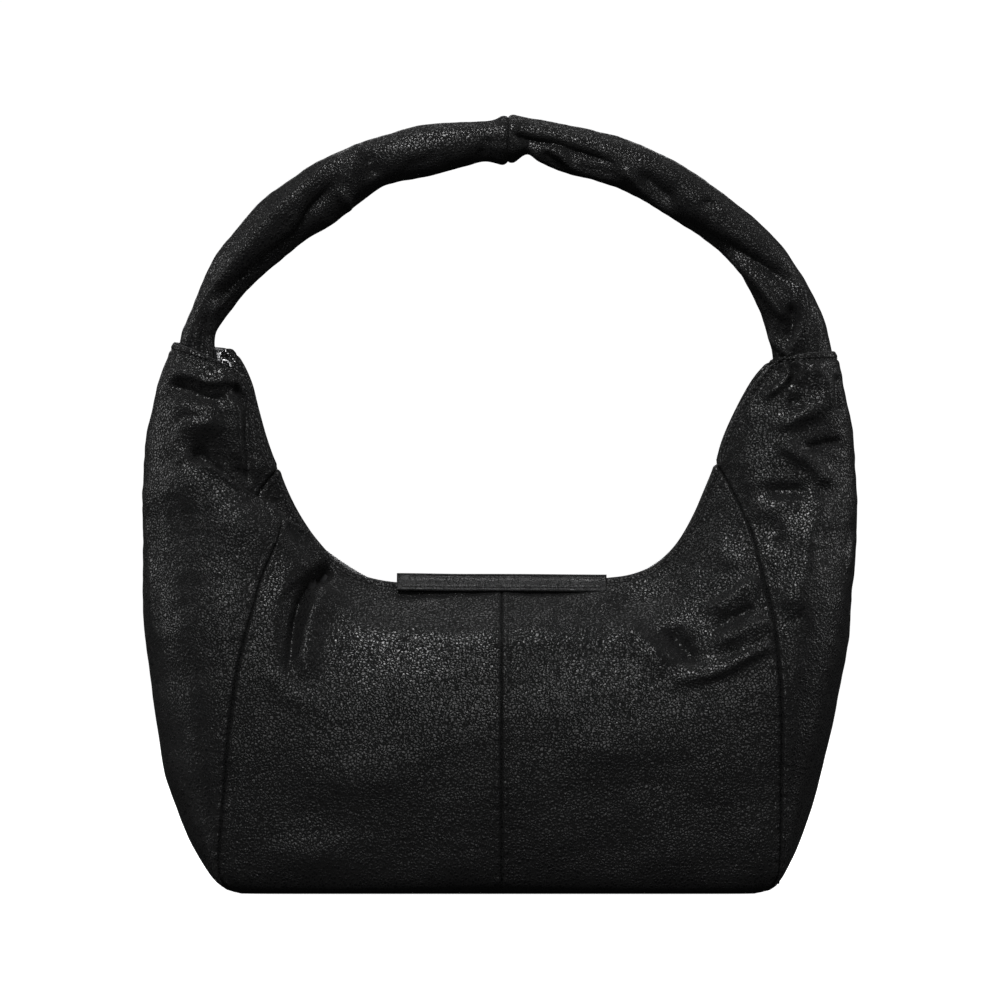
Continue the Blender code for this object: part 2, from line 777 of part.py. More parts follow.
def collar(name, side):
    """A rolled leather ring round the open top of the side panel."""
    middle_z, half_z = (COLLAR_LOW + COLLAR_HIGH) / 2, (COLLAR_HIGH - COLLAR_LOW) / 2
    vertices, faces = [], []
    around, section = COLLAR_SIDES, 6
    for j in range(around):
        angle = 2 * math.pi * j / around
        for k in range(section):
            turn = 2 * math.pi * k / section
            out = COLLAR_HALF_THICK * math.cos(turn)
            x = COLLAR_X + (COLLAR_HALF_X + out) * math.cos(angle)
            y = (COLLAR_HALF_Y + out) * math.sin(angle)
            vertices.append((side * x, y, middle_z + half_z * math.sin(turn)))
    for j in range(around):
        for k in range(section):
            a, b = j * section + k, j * section + (k + 1) % section
            c, d = (j + 1) % around * section + (k + 1) % section, (j + 1) % around * section + k
            faces.append([a, b, c, d])
    return solid(name, vertices, faces, EDGE_LOOK)


def anchor(name, side):
    """The tab that ties the handle's end down inside the shoulder."""
    near, far = ANCHOR_X
    outline = [(near, -ANCHOR_HALF_Y), (far, -ANCHOR_HALF_Y), (far, ANCHOR_HALF_Y), (near, ANCHOR_HALF_Y)]
    vertices = [(side * x, y, z) for z in ANCHOR_Z for x, y in outline]
    return solid(name, vertices, block_faces(0), EDGE_LOOK)


def handle_rings(stations, shrink, first_share=0.0):
    """Rings of points round the handle's right half, from the shoulder to the top seam."""
    shares = np.linspace(first_share, 1, stations)
    line = at_shares(HANDLE_LINE, shares)
    dense = smooth(HANDLE_LINE)
    along = np.concatenate([[0], np.cumsum(np.linalg.norm(np.diff(dense, axis=0), axis=1))])
    section = smooth(HANDLE_SECTION)
    sizes = np.stack([np.interp(shares * along[-1], along, section[:, k]) for k in range(2)], axis=1)
    sizes -= shrink
    rings = []
    for k, (x, z) in enumerate(line):
        ahead, behind = line[min(k + 1, stations - 1)], line[max(k - 1, 0)]
        tangent = (ahead - behind) / np.linalg.norm(ahead - behind)
        if k == stations - 1:
            tangent = np.array([-1.0, 0.0])
        across = np.array([-tangent[1], tangent[0]])
        ring = []
        for n in range(HANDLE_SIDES):
            angle = 2 * math.pi * n / HANDLE_SIDES
            shift = across * sizes[k, 0] * math.cos(angle)
            ring.append((x + shift[0], sizes[k, 1] * math.sin(angle), z + shift[1]))
        rings.append(ring)
    return rings


def knuckle(rings, shrink):
    """Rings that close the handle's shoulder end as a dome round the hinge."""
    first = np.array(rings[0])
    middle = first.mean(0)
    next_middle = np.array(rings[1]).mean(0)
    back = (middle - next_middle) / np.linalg.norm(middle - next_middle)
    depth = KNUCKLE_DEPTH - shrink
    dome = []
    for turn in (75, 50, 25):
        share = math.radians(turn)
        size = math.cos(share)
        shift = back * depth * math.sin(share)
        dome.append([tuple(middle + (p - middle) * size + shift) for p in first])
    return dome, tuple(middle + back * depth)


def join_rings(rings, first):
    """Faces between each ring and the next, numbered from first."""
    faces = []
    for j in range(len(rings) - 1):
        for n in range(HANDLE_SIDES):
            a, b = first + j * HANDLE_SIDES + n, first + j * HANDLE_SIDES + (n + 1) % HANDLE_SIDES
            faces.append([a, b, b + HANDLE_SIDES, a + HANDLE_SIDES])
    return faces


def handle_cover(name, side):
    """A leather tube from the shoulder to the top seam, closed round the hinge."""
    layers, tips = [], []
    for shrink in (0, LEATHER):
        rings = handle_rings(HANDLE_STATIONS, shrink)
        rings[-1] = [(SEAM_GAP / 2, y, z) for _, y, z in rings[-1]]
        dome, tip = knuckle(rings, shrink)
        layers.append(dome + rings)
        tips.append(tip)
    vertices = [point for layer in layers for ring in layer for point in ring]
    each = len(layers[0]) * HANDLE_SIDES
    faces = join_rings(layers[0], 0) + join_rings(layers[1], each)
    vertices += tips
    for layer in (0, 1):
        tip = 2 * each + layer
        first = layer * each
        faces += [[first + n, first + (n + 1) % HANDLE_SIDES, tip] for n in range(HANDLE_SIDES)]
    end = each - HANDLE_SIDES
    for n in range(HANDLE_SIDES):
        a, b = end + n, end + (n + 1) % HANDLE_SIDES
        faces.append([a, b, b + each, a + each])
    vertices = [(side * x, y, z) for x, y, z in vertices]
    return solid(name, vertices, faces, LEATHER_LOOK, (0, 0, HINGE_Z))


def handle_core():
    """The padding rope that fills both covers."""
    shrink = LEATHER + CORE_GAP
    right = handle_rings(HANDLE_STATIONS, shrink, 0.02)
    left = [[(-x, y, z) for x, y, z in ring] for ring in reversed(right[:-1])]
    rings = right + left
    rings[len(right) - 1] = [(0, y, z) for _, y, z in right[-1]]
    vertices = [point for ring in rings for point in ring]
    faces = join_rings(rings, 0)
    last = (len(rings) - 1) * HANDLE_SIDES
    faces += [list(range(HANDLE_SIDES)), [last + n for n in reversed(range(HANDLE_SIDES))]]
    return solid("handle_core", vertices, faces, CORE_LOOK, (0, 0, HINGE_Z))


# ---------------------------------------------------------------- assembly


def main():
    for old in list(bpy.data.objects):
        bpy.data.objects.remove(old)
    front, side = front_quarter(), side_right()
    quarters = [front, mirrored(front, 0), mirrored(front, 1), mirrored(mirrored(front, 0), 1)]
    steps = outward_steps(quarters + [side, mirrored(side, 0)])
    leather_panels(front, side, steps)
    base(front, side)
    lining(front, side)
    slip_pocket(front, steps)
    facings()
    front_strip()
    zip_tapes()
    zip_teeth()
    zip_stops()
    zip_slider((0, 0, ZIP_CENTRE_Z))
    zip_pull()
    for name, way in (("left", -1), ("right", 1)):
        collar(f"collar_{name}", way)
        anchor(f"handle_anchor_{name}", way)
        handle_cover(f"handle_cover_{name}", way)
    handle_core()


main()
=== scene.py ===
"""Looks of the black leather hobo bag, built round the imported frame.

Lengths are in millimetres until a mesh is made. X runs across, -Y is the front, Z is up.
The skin is one surface cut into panels. Folds are lines on the front or back, seen straight on.
"""

import math

import bmesh
import bpy
import numpy as np
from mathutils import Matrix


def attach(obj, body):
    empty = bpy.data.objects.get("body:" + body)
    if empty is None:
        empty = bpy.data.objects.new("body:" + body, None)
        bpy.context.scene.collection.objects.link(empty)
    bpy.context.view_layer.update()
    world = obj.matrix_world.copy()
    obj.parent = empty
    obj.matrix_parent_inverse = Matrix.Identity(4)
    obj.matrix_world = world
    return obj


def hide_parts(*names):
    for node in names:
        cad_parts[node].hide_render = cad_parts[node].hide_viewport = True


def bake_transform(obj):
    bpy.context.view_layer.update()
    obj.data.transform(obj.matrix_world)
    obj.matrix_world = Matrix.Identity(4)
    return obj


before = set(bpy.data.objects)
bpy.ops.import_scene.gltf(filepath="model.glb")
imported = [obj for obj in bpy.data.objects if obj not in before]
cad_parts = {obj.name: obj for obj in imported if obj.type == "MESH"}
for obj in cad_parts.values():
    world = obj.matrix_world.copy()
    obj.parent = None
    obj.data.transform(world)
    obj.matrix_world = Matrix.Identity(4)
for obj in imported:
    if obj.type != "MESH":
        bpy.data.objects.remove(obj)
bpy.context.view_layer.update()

ZIP_Z = 331.0
ZIP_RADIUS = 168.0
SLIDER_DEG = -82.0
SEAM_X = 1.0
TOP_SEAM_X = 4.7
ROLL = 1.3
STITCH_IN = 3.6
LINING_IN = 4.0
LINING_Y = 9.4
CHAIN_IN = 2.6
STOP_DEG = 84.9
PULL_LIFT = math.radians(8)
CAMERA_BACK = 4.0

SIDES = {1: "right", -1: "left"}
FACES = {-1: "front", 1: "back"}

# Outlines of each half as (x, y, z) or (x, z), with x away from the middle
CENTRE = [
    (0, -57, 0), (0, -61, 2.5), (0, -64.5, 9), (0, -67, 30), (0, -68.5, 70), (0, -67.5, 100),
    (0, -64, 122), (0, -57, 141), (0, -46, 156), (0, -31, 168), (0, -18, 176), (0, -11, 180.5),
]
SEAM = {
    1: [
        (148, -54, 0), (157, -57.5, 3), (161.5, -59.5, 9), (163, -60.5, 18), (163.5, -61, 33),
        (163.9, -61, 57), (164.3, -60.5, 94), (163.4, -59, 122), (161, -54.5, 150), (159, -50, 164),
        (155, -45, 180), (151.8, -39.5, 194), (148.6, -34, 207), (143.4, -27.5, 220), (135, -18, 238),
        (127.8, -11.5, 250.5),
    ],
    -1: [
        (150, -54, 0), (158, -57.5, 3), (163, -59.5, 9), (163.9, -60.5, 18), (163, -61, 33),
        (161, -61, 57), (158, -60.5, 94), (154, -59, 125), (149, -54.5, 149), (144.5, -49.5, 166),
        (140.5, -44, 182), (134.8, -38, 197), (130.8, -32.5, 210), (132, -29, 217.5), (139.5, -24, 228),
        (135, -17, 240), (131.5, -11.5, 248),
    ],
}
LIP = {
    1: [
        (0, 180.5), (35, 180.6), (62, 183), (76.5, 185), (88.5, 189.5), (98, 196.5), (106.2, 205.8),
        (114.3, 219.5), (121, 234.5), (127.8, 250.5),
    ],
    -1: [
        (0, 180.5), (35, 180.4), (61.5, 180.6), (81.8, 184.6), (96.9, 193.2), (108.3, 205),
        (117.2, 217.4), (124.7, 231.5), (131.5, 248),
    ],
}
SHOULDER = {
    (1, -1): [
        (131, -11.5, 262.5), (136, -11.5, 274), (143.5, -11.5, 288), (150.5, -12, 298.5),
        (157.5, -13, 306.5), (165, -14.5, 312),
    ],
    (1, 1): [
        (131, -11.5, 262.5), (136, -11.5, 275), (143.5, -11.5, 290), (150, -12, 301), (156.5, -13, 309),
        (162, -14.5, 313),
    ],
    (-1, -1): [
        (136.2, -11.5, 259.5), (140.2, -11.5, 272), (144.2, -11.5, 285), (148, -12, 295.5),
        (153, -12.5, 303.5), (160, -13.5, 308.5),
    ],
    (-1, 1): [
        (136.2, -11.5, 259.5), (140.2, -11.5, 272), (144, -11.5, 286), (147.5, -12, 299),
        (152.5, -12.5, 310), (158.5, -13.5, 318),
    ],
}
OUTLINE = {
    1: [
        (151, 0), (160, 2), (167, 9), (173, 20), (182, 41.5), (191.5, 76), (199.8, 112), (206.2, 148),
        (208.5, 174), (210, 194), (210.8, 214), (210.9, 232), (209, 260), (206.8, 279), (203.4, 295),
        (201.6, 306), (198.5, 316.5),
    ],
    -1: [
        (155, 0), (163, 2.2), (169, 7), (177, 18), (185, 33), (193.5, 54.5), (198.8, 71), (204, 102),
        (208.8, 140), (210.6, 162), (211, 195), (210.8, 230), (209.2, 262), (206.8, 277), (202.2, 300),
        (197.5, 311), (193.5, 322),
    ],
}
WIDEST = [
    (54, 0), (58, 4), (60, 12), (61, 57), (60.5, 94), (59.3, 122), (56, 149), (52.5, 167), (48.5, 181),
    (44, 196), (39.5, 211), (35, 225), (30.5, 239), (27, 251), (24.5, 263), (22.5, 276), (20, 290),
    (18, 301), (16.6, 310), (16.2, 318), (16.2, 330),
]

# Folds: line as (x, z), height, width on its left and right going along it, and the share faded at each end
FRONT_FOLDS = [
    # The left side panel: the big fold across the seam, the pillow above it and its pit
    ([(-188, 259), (-181, 252), (-172, 248), (-163, 243), (-153, 235), (-142, 227), (-131, 218),
      (-120, 211), (-109, 204), (-101, 197), (-96, 190)], 6.0, 2.2, 26, 0.1, 0.15),
    ([(-184, 257), (-172, 250), (-153, 237), (-131, 220), (-109, 206), (-98, 195)], 1.6, 1.6, 4, 0.15, 0.2),
    ([(-180, 256), (-170, 253), (-160, 247), (-150, 240), (-139, 231), (-128, 222), (-116, 214),
      (-104, 206)], -9.0, 14, 2.6, 0.2, 0.3),
    ([(-198, 297), (-188, 296), (-178, 292), (-168, 289), (-158, 292)], -4.6, 3.0, 6, 0.2, 0.25),
    ([(-200, 304), (-184, 303), (-170, 299), (-160, 300), (-152, 295)], 3.0, 5, 3, 0.25, 0.2),
    ([(-198, 287), (-184, 286), (-170, 284), (-160, 282)], 3.2, 7, 8, 0.3, 0.3),
    ([(-160, 275), (-172, 274), (-184, 272), (-190, 264), (-189, 256), (-184, 250)],
      3.6, 7, 4.5, 0.25, 0.1),
    ([(-184, 257), (-178, 256), (-170, 258)], -6.0, 6, 6, 0.3, 0.4),
    ([(-159, 299), (-151, 291), (-147.5, 281), (-147.5, 270), (-146, 259), (-144.5, 249), (-143, 238)],
      -4.2, 1.7, 3.2, 0.1, 0.15),
    ([(-163, 292), (-156, 284), (-153.5, 274), (-153, 260), (-150, 247)], 2.6, 3, 6, 0.2, 0.3),
    ([(-208, 250), (-206, 237), (-208, 222), (-207, 200), (-204.5, 182), (-204, 165), (-201, 146)],
      1.2, 1.1, 2.6, 0.2, 0.3),
    ([(-170, 224), (-158, 214), (-148, 202)], 1.6, 9, 9, 0.4, 0.4),
    # The left front panel: the deep crease and the ridge at its right
    ([(-97, 188), (-106, 185), (-113, 177), (-117, 168), (-120, 154), (-122, 140), (-124, 122)],
      -9.0, 3.2, 2.6, 0.06, 0.45),
    ([(-98, 178), (-107, 170), (-112, 158), (-114.5, 142), (-117, 122)], 3.4, 8, 3.4, 0.25, 0.25),
    ([(-112, 196), (-122, 186), (-130, 168), (-133, 148), (-132, 130)], 2.6, 5, 9, 0.3, 0.4),
    ([(-140, 140), (-128, 124), (-112, 112), (-96, 108)], 1.6, 6, 8, 0.3, 0.4),
    # The right side panel: the long S of ridges and its two pits
    ([(176, 312), (186, 306), (193, 296), (190, 286), (178, 279), (168, 274), (160, 268)],
      3.6, 5, 5.5, 0.2, 0.2),
    ([(163, 267), (170, 259), (180, 252), (188, 244), (192, 234)], 4.6, 6, 4, 0.2, 0.2),
    ([(192, 238), (188, 222), (181, 207), (180, 192), (174, 176), (164, 163)], 3.6, 8, 7, 0.2, 0.15),
    ([(148, 238), (156, 236), (165, 236), (175, 236), (184, 233)], -4.6, 5, 5.5, 0.4, 0.25),
    ([(175, 259), (184, 261), (195, 264), (203, 264)], -3.4, 2.6, 3.6, 0.3, 0.25),
    ([(155, 224), (161, 210), (165, 196)], -3.2, 9, 9, 0.35, 0.35),
    ([(168, 288), (174, 287), (180, 285)], -2.6, 4, 4, 0.3, 0.3),
    ([(166, 312), (170, 304), (164, 296), (154, 289)], 2.6, 2.4, 3.0, 0.1, 0.3),
    ([(176, 313), (178, 304), (174, 296)], 1.8, 2.0, 2.4, 0.05, 0.3),
    ([(172, 312), (173, 303), (168, 295)], -2.0, 2.0, 2.0, 0.05, 0.3),
    ([(201, 304), (198, 295), (200, 286), (204, 278)], -2.4, 1.6, 2.6, 0.15, 0.3),
    # The right front panel: folds that run in from the seam, and the dip where they end
    ([(153, 184), (140, 176), (128, 168), (116, 163)], 3.2, 6, 3.2, 0.15, 0.35),
    ([(150, 169), (136, 161), (120, 154)], -3.0, 3, 3.4, 0.2, 0.35),
    ([(161, 160), (146, 155), (132, 149), (116, 144)], 3.4, 5, 4, 0.1, 0.35),
    ([(158, 149), (140, 142), (124, 137)], -2.6, 3, 3.4, 0.2, 0.35),
    ([(160, 147), (144, 139), (128, 130), (108, 125), (92, 125)], 3.2, 4, 8, 0.1, 0.3),
    ([(97, 158), (104, 149), (111, 139), (113, 131)], -6.0, 5, 6, 0.3, 0.3),
    ([(66, 160), (80, 149), (92, 138), (102, 128)], 4.0, 6, 9, 0.3, 0.3),
    ([(120, 206), (132, 198), (146, 190)], 1.8, 7, 8, 0.35, 0.35),
    ([(4, 157), (26, 162), (52, 170), (76, 178)], 1.8, 8, 7, 0.3, 0.3),
    ([(60, 171), (78, 170), (97, 175), (112, 186)], -2.6, 7, 7, 0.35, 0.35),
    # The slump across the front, and shallow waves below it
    ([(-98, 148), (-50, 151), (0, 149), (50, 151), (96, 149)], 2.6, 12, 9, 0.25, 0.25),
    ([(-80, 124), (-30, 118), (20, 120), (70, 116)], -1.4, 16, 16, 0.4, 0.4),
    ([(30, 92), (80, 84), (130, 90)], 1.4, 18, 16, 0.4, 0.4),
    ([(-140, 80), (-90, 68), (-40, 74)], 1.4, 18, 16, 0.4, 0.4),
    ([(-150, 28), (-120, 24), (-80, 28)], 1.0, 12, 12, 0.4, 0.4),
    ([(208, 212), (205.5, 196), (203, 184)], 1.2, 2.4, 1.2, 0.3, 0.3),
]
BACK_FOLDS = [
    ([(-178, 262), (-160, 246), (-144, 230), (-126, 214), (-108, 198)], 3.8, 7, 5, 0.3, 0.3),
    ([(-168, 244), (-150, 228), (-132, 212)], -3.0, 5, 7, 0.3, 0.3),
    ([(182, 266), (166, 250), (148, 234), (128, 216), (104, 196)], 4.2, 5, 8, 0.3, 0.3),
    ([(176, 252), (156, 234), (136, 216)], -3.2, 7, 4, 0.3, 0.3),
    ([(-196, 292), (-180, 287), (-162, 288)], -3.0, 7, 7, 0.3, 0.3),
    ([(160, 292), (178, 286), (196, 290)], -3.2, 7, 7, 0.3, 0.3),
    ([(96, 172), (104, 154), (108, 132)], -3.6, 5, 6, 0.3, 0.3),
    ([(84, 170), (92, 150), (98, 128)], 2.4, 7, 7, 0.3, 0.3),
    ([(-90, 178), (-96, 158), (-108, 138)], -2.8, 6, 6, 0.3, 0.3),
    ([(-90, 147), (-20, 150), (60, 146)], 1.3, 13, 13, 0.3, 0.3),
    ([(-60, 98), (10, 88), (90, 96)], 1.2, 18, 18, 0.4, 0.4),
]

# Handle: outer and inner edges of each half seen from the front, from inside the shoulder to the top seam
HANDLE_OUTER = {
    1: [
        (197, 296), (196.6, 312), (195.5, 322), (191.5, 337), (185.4, 350), (176.4, 366), (166, 381),
        (153.8, 393.4), (131, 411.4), (108, 427.4), (88, 437.5), (67, 445.5), (39.6, 451.5), (14, 456.2),
        (7, 457), (4.7, 456.6),
    ],
    -1: [
        (191, 296), (190.8, 312), (188.8, 326), (184.4, 337), (176.8, 357), (169, 373.3), (157, 388.4),
        (143.3, 405), (125, 418.6), (110, 428.6), (84, 440.8), (64.5, 446.8), (44.4, 451.6), (8, 454),
        (-1, 456.6), (-4.7, 456.8),
    ],
}
HANDLE_INNER = {
    1: [
        (164, 296), (161.4, 312), (158.4, 326), (155.3, 337), (149.3, 350), (140, 366), (123.3, 382),
        (100.2, 397.3), (79, 410), (62.5, 416.5), (39.6, 422.5), (23, 429.5), (16, 433.6), (9, 429.4),
        (4.7, 429),
    ],
    -1: [
        (166, 296), (167, 312), (168.2, 328), (155.4, 346.3), (143.3, 359.8), (125, 375.3), (110, 386.3),
        (100.7, 391.4), (79.2, 408.4), (67.2, 416), (41, 421.4), (20, 427), (9.4, 430), (0, 428.2),
        (-4.7, 429),
    ],
}
HANDLE_FRONT_FOLDS = [
    ([(-180, 330), (-177, 343), (-157, 370), (-136, 396), (-112, 418), (-94, 431), (-86, 437)],
      3.2, 1.8, 6, 0.25, 0.08),
    ([(-184, 348), (-163, 376), (-142, 402), (-120, 421)], -1.6, 5, 3, 0.15, 0.2),
    ([(-168, 343), (-158, 354), (-136, 372), (-118, 387), (-112, 400), (-104, 410), (-94, 420)],
      -4.4, 3.2, 4.4, 0.12, 0.2),
    ([(-82, 441), (-85, 431), (-88, 420), (-89, 409), (-96, 397)], 3.0, 3.0, 4.5, 0.1, 0.3),
    ([(-78, 436), (-76, 426), (-73, 418)], -2.4, 5, 5, 0.3, 0.3),
    ([(-97, 417), (-92, 409), (-89, 401), (-94, 393), (-101, 388)], 2.4, 2.4, 4, 0.25, 0.1),
    ([(-87, 402), (-82, 407), (-74, 411)], -2.4, 2.4, 2.4, 0.25, 0.3),
    ([(-172, 312), (-170.5, 328), (-168.5, 341), (-160, 350), (-148, 361)], 2.4, 3.4, 2.2, 0.02, 0.35),
    ([(-176, 314), (-174.5, 330), (-172, 341)], -2.0, 3, 2.4, 0.05, 0.3),
    ([(-66, 420), (-48, 428), (-30, 436)], -1.2, 5, 5, 0.4, 0.4),
    ([(-62, 440), (-42, 443), (-26, 447)], -1.2, 4, 5, 0.4, 0.4),
    ([(-12, 430), (-9, 438), (-6, 446)], -1.6, 3.0, 2.4, 0.3, 0.3),
    ([(6, 446), (18, 441), (33, 439.5), (42, 436), (60, 430), (72, 425)], -4.0, 3.0, 2.6, 0.1, 0.3),
    ([(16, 438), (22, 432), (29, 426), (43, 423)], 2.4, 2.0, 2.2, 0.15, 0.3),
    ([(33, 438), (39, 430), (48, 424), (66, 419), (76, 415)], 2.6, 2.2, 2.6, 0.1, 0.3),
    ([(26, 436), (32, 429), (40, 426)], -2.0, 1.8, 1.8, 0.25, 0.3),
    ([(72, 426), (82, 415), (92, 406), (112, 391)], 2.8, 2.4, 3.4, 0.1, 0.35),
    ([(80, 424), (92, 414), (106, 402)], -3.0, 5, 4, 0.3, 0.35),
    ([(58, 446), (84, 434), (108, 420), (128, 405), (146, 389)], 1.6, 5, 5, 0.35, 0.35),
    ([(118, 407), (124, 404), (131, 403)], -2.2, 4, 4, 0.35, 0.35),
    ([(100, 398), (118, 386), (136, 377), (152, 369), (168, 360), (180, 354)], -4.4, 4.2, 3.8, 0.25, 0.25),
    ([(130, 378), (146, 364), (157, 352), (165, 341), (171, 333)], 3.4, 3.4, 3.2, 0.3, 0.15),
    ([(174, 362), (178, 348), (179, 336), (175, 324), (171, 313)], 4.0, 2.8, 2.6, 0.15, 0.02),
    ([(172, 346), (172, 334), (169, 322)], -4.0, 3.0, 3.0, 0.25, 0.2),
    ([(157, 328), (163, 322), (169, 316)], 2.0, 2.4, 2.4, 0.2, 0.05),
    ([(190, 340), (188, 324), (187, 308)], 1.0, 2.4, 2.4, 0.3, 0.02),
]
HANDLE_BACK_FOLDS = [
    ([(-186, 326), (-172, 352), (-150, 378), (-126, 398), (-100, 414)], 2.6, 3.4, 5, 0.05, 0.3),
    ([(-164, 344), (-142, 368), (-118, 388), (-92, 404)], -2.6, 3.4, 4.4, 0.2, 0.3),
    ([(-66, 420), (-44, 432), (-20, 444)], -2.4, 3.4, 4.4, 0.3, 0.3),
    ([(12, 436), (34, 444), (60, 438), (88, 424)], -2.8, 3.4, 4.4, 0.2, 0.3),
    ([(70, 420), (98, 406), (126, 388), (150, 366)], 2.6, 3.4, 4.0, 0.3, 0.3),
    ([(150, 356), (166, 342), (178, 322)], -2.6, 3, 4, 0.3, 0.05),
    ([(186, 350), (182, 334), (176, 318)], 2.6, 3, 4, 0.3, 0.05),
]


# ---------------------------------------------------------------- curves


def dense(points, steps=12):
    """A Catmull-Rom curve through the points."""
    p = np.asarray(points, float)
    ends = np.vstack([2 * p[0] - p[1], p, 2 * p[-1] - p[-2]])
    t = np.linspace(0, 1, steps, endpoint=False)[:, None]
    parts = []
    for i in range(len(p) - 1):
        a, b, c, d = ends[i : i + 4]
        bend, twist = 2 * a - 5 * b + 4 * c - d, 3 * b - a - 3 * c + d
        parts.append(0.5 * (2 * b + (c - a) * t + bend * t**2 + twist * t**3))
    return np.vstack(parts + [p[-1:]])


def softened(points, reach, kept=0.0):
    """The smooth curve through the points with short wobbles taken out, except near its end."""
    line = dense(points)
    along = lengths(line)
    places = np.linspace(0, along[-1], int(along[-1]) + 1)
    line = np.stack([np.interp(places, along, column) for column in line.T], axis=1)
    soft = smooth_line(line, int(2 * reach**2))
    share = smoothstep(along[-1] - places, kept * 0.4, kept + 1e-6)[:, None]
    return soft * share + line * (1 - share)


def smooth_line(values, times):
    values = values.copy()
    for _ in range(times):
        values[1:-1] = (values[:-2] + 2 * values[1:-1] + values[2:]) / 4
    return values


def lengths(line):
    return np.concatenate([[0], np.cumsum(np.linalg.norm(np.diff(line, axis=0), axis=1))])


def at_shares(points, shares, steps=12):
    """Points on the smooth curve at these shares of its length."""
    line = dense(points, steps)
    along = lengths(line)
    wanted = np.asarray(shares) * along[-1]
    return np.stack([np.interp(wanted, along, column) for column in line.T], axis=1)


def spaced(length, fine, coarse, starts=True, ends=True, reach=9.0):
    """Shares from 0 to 1 whose steps are fine near the chosen ends and coarse between."""
    places = [0.0]
    while places[-1] < length:
        gap = places[-1] if starts else length
        gap = min(gap, length - places[-1]) if ends else gap
        places.append(places[-1] + fine + (coarse - fine) * min(1.0, gap / reach))
    return np.array(places) / places[-1]


def smoothstep(value, low, high):
    t = np.clip((value - low) / (high - low), 0, 1)
    return t * t * (3 - 2 * t)


def coons(bottom, top, left, right, us, vs):
    u, v = us[None, :, None], vs[:, None, None]
    across = (1 - u) * left[:, None] + u * right[:, None]
    up = (1 - v) * bottom[None] + v * top[None]
    corners = (1 - v) * ((1 - u) * bottom[0] + u * bottom[-1]) + v * ((1 - u) * top[0] + u * top[-1])
    return across + up - corners


def unit(vectors):
    return vectors / np.maximum(np.linalg.norm(vectors, axis=-1, keepdims=True), 1e-9)


def waves(points, amplitude, shortest, longest, count, seed):
    """Smooth random ripples: a sum of plane waves in all directions."""
    rng = np.random.default_rng(seed)
    total = np.zeros(points.shape[:-1])
    for _ in range(count):
        way = unit(rng.normal(size=3))
        length = rng.uniform(shortest, longest)
        total += np.sin(points @ way * 2 * math.pi / length + rng.uniform(0, 6.28))
    return amplitude * total / math.sqrt(count)


def fold_height(flat, folds):
    """Sum of the folds at flat (x, z) points."""
    total = np.zeros(len(flat))
    for line, height, left, right, start_fade, end_fade in folds:
        path = dense(line, 5)
        reach = 3.2 * max(left, right)
        low, high = path.min(0) - reach, path.max(0) + reach
        near = np.flatnonzero(((flat > low) & (flat < high)).all(1))
        p = flat[near]
        along = lengths(path)
        best = np.full(len(p), 1e9)
        share, side = np.zeros(len(p)), np.zeros(len(p))
        for k in range(len(path) - 1):
            step = path[k + 1] - path[k]
            size = along[k + 1] - along[k]
            offset = p - path[k]
            t = np.clip(offset @ step / size**2, 0, 1)
            gap = np.linalg.norm(offset - t[:, None] * step, axis=1)
            closer = gap < best
            best = np.where(closer, gap, best)
            share = np.where(closer, (along[k] + t * size) / along[-1], share)
            side = np.where(closer, step[0] * offset[:, 1] - step[1] * offset[:, 0], side)
        width = right + (left - right) * smoothstep(np.sign(side) * best, -0.5 * right, 0.5 * left)
        fade = smoothstep(share, 0, max(start_fade, 1e-3)) * smoothstep(1 - share, 0, max(end_fade, 1e-3))
        shape = np.exp(-((best / width) ** 2)) if height > 0 else np.exp(-((best / width) ** 1.5))
        total[near] += height * fade * shape
    return total


def both_sides(points, front_folds, back_folds):
    """The front's folds where y is negative, and the back's elsewhere."""
    flat = points[..., [0, 2]].reshape(-1, 2)
    y = points[..., 1].reshape(-1)
    share = smoothstep(-y, -3, 5)
    total = share * fold_height(flat, front_folds) + (1 - share) * fold_height(flat, back_folds)
    return total.reshape(points.shape[:-1])


# ---------------------------------------------------------------- meshes and materials


def normals_of(grid):
    du = np.gradient(grid, axis=1)
    dv = np.gradient(grid, axis=0)
    return unit(np.cross(du, dv))


def placed(name, mesh, material):
    """The mesh as a new object in the scene."""
    mesh.materials.append(material)
    made = bpy.data.objects.new(name, mesh)
    bpy.context.scene.collection.objects.link(made)
    return made


def stands_for(made, cad_name):
    """Shows this piece instead of the CAD node."""
    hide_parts(cad_name)


def build(name, grids, material, hint, body="bag"):
    """One mesh from grids of points, welded where they meet, with its first grid facing the hint."""
    points, quads, first = [], [], 0
    for grid in grids:
        rows, columns = grid.shape[:2]
        index = first + np.arange(rows * columns).reshape(rows, columns)
        corners = index[:-1, :-1], index[:-1, 1:], index[1:, 1:], index[1:, :-1]
        quads.append(np.stack(corners, -1).reshape(-1, 4))
        points.append(grid.reshape(-1, 3))
        first += rows * columns
    points, quads = np.vstack(points), np.vstack(quads)
    _, index, inverse = np.unique(np.round(points, 3), axis=0, return_index=True, return_inverse=True)
    quads = inverse.reshape(-1)[quads]
    faces = []
    for loop in quads.tolist():
        kept = [c for k, c in enumerate(loop) if c != loop[k - 1]]
        if len(kept) > 2 and len(set(kept)) == len(kept):
            faces.append(kept)
    mesh = bpy.data.meshes.new(name)
    mesh.from_pydata((points[index] * 0.001).tolist(), [], faces)
    work = bmesh.new()
    work.from_mesh(mesh)
    bmesh.ops.recalc_face_normals(work, faces=work.faces)
    work.to_mesh(mesh)
    work.free()
    rows, columns = grids[0].shape[:2]
    middle = rows // 2 * (columns - 1) + columns // 2
    if hint is not None and np.dot(mesh.polygons[min(middle, len(mesh.polygons) - 1)].normal, hint) < 0:
        mesh.flip_normals()
    mesh.shade_smooth()
    made = placed(name, mesh, material)
    if body:
        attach(made, body)
    return made


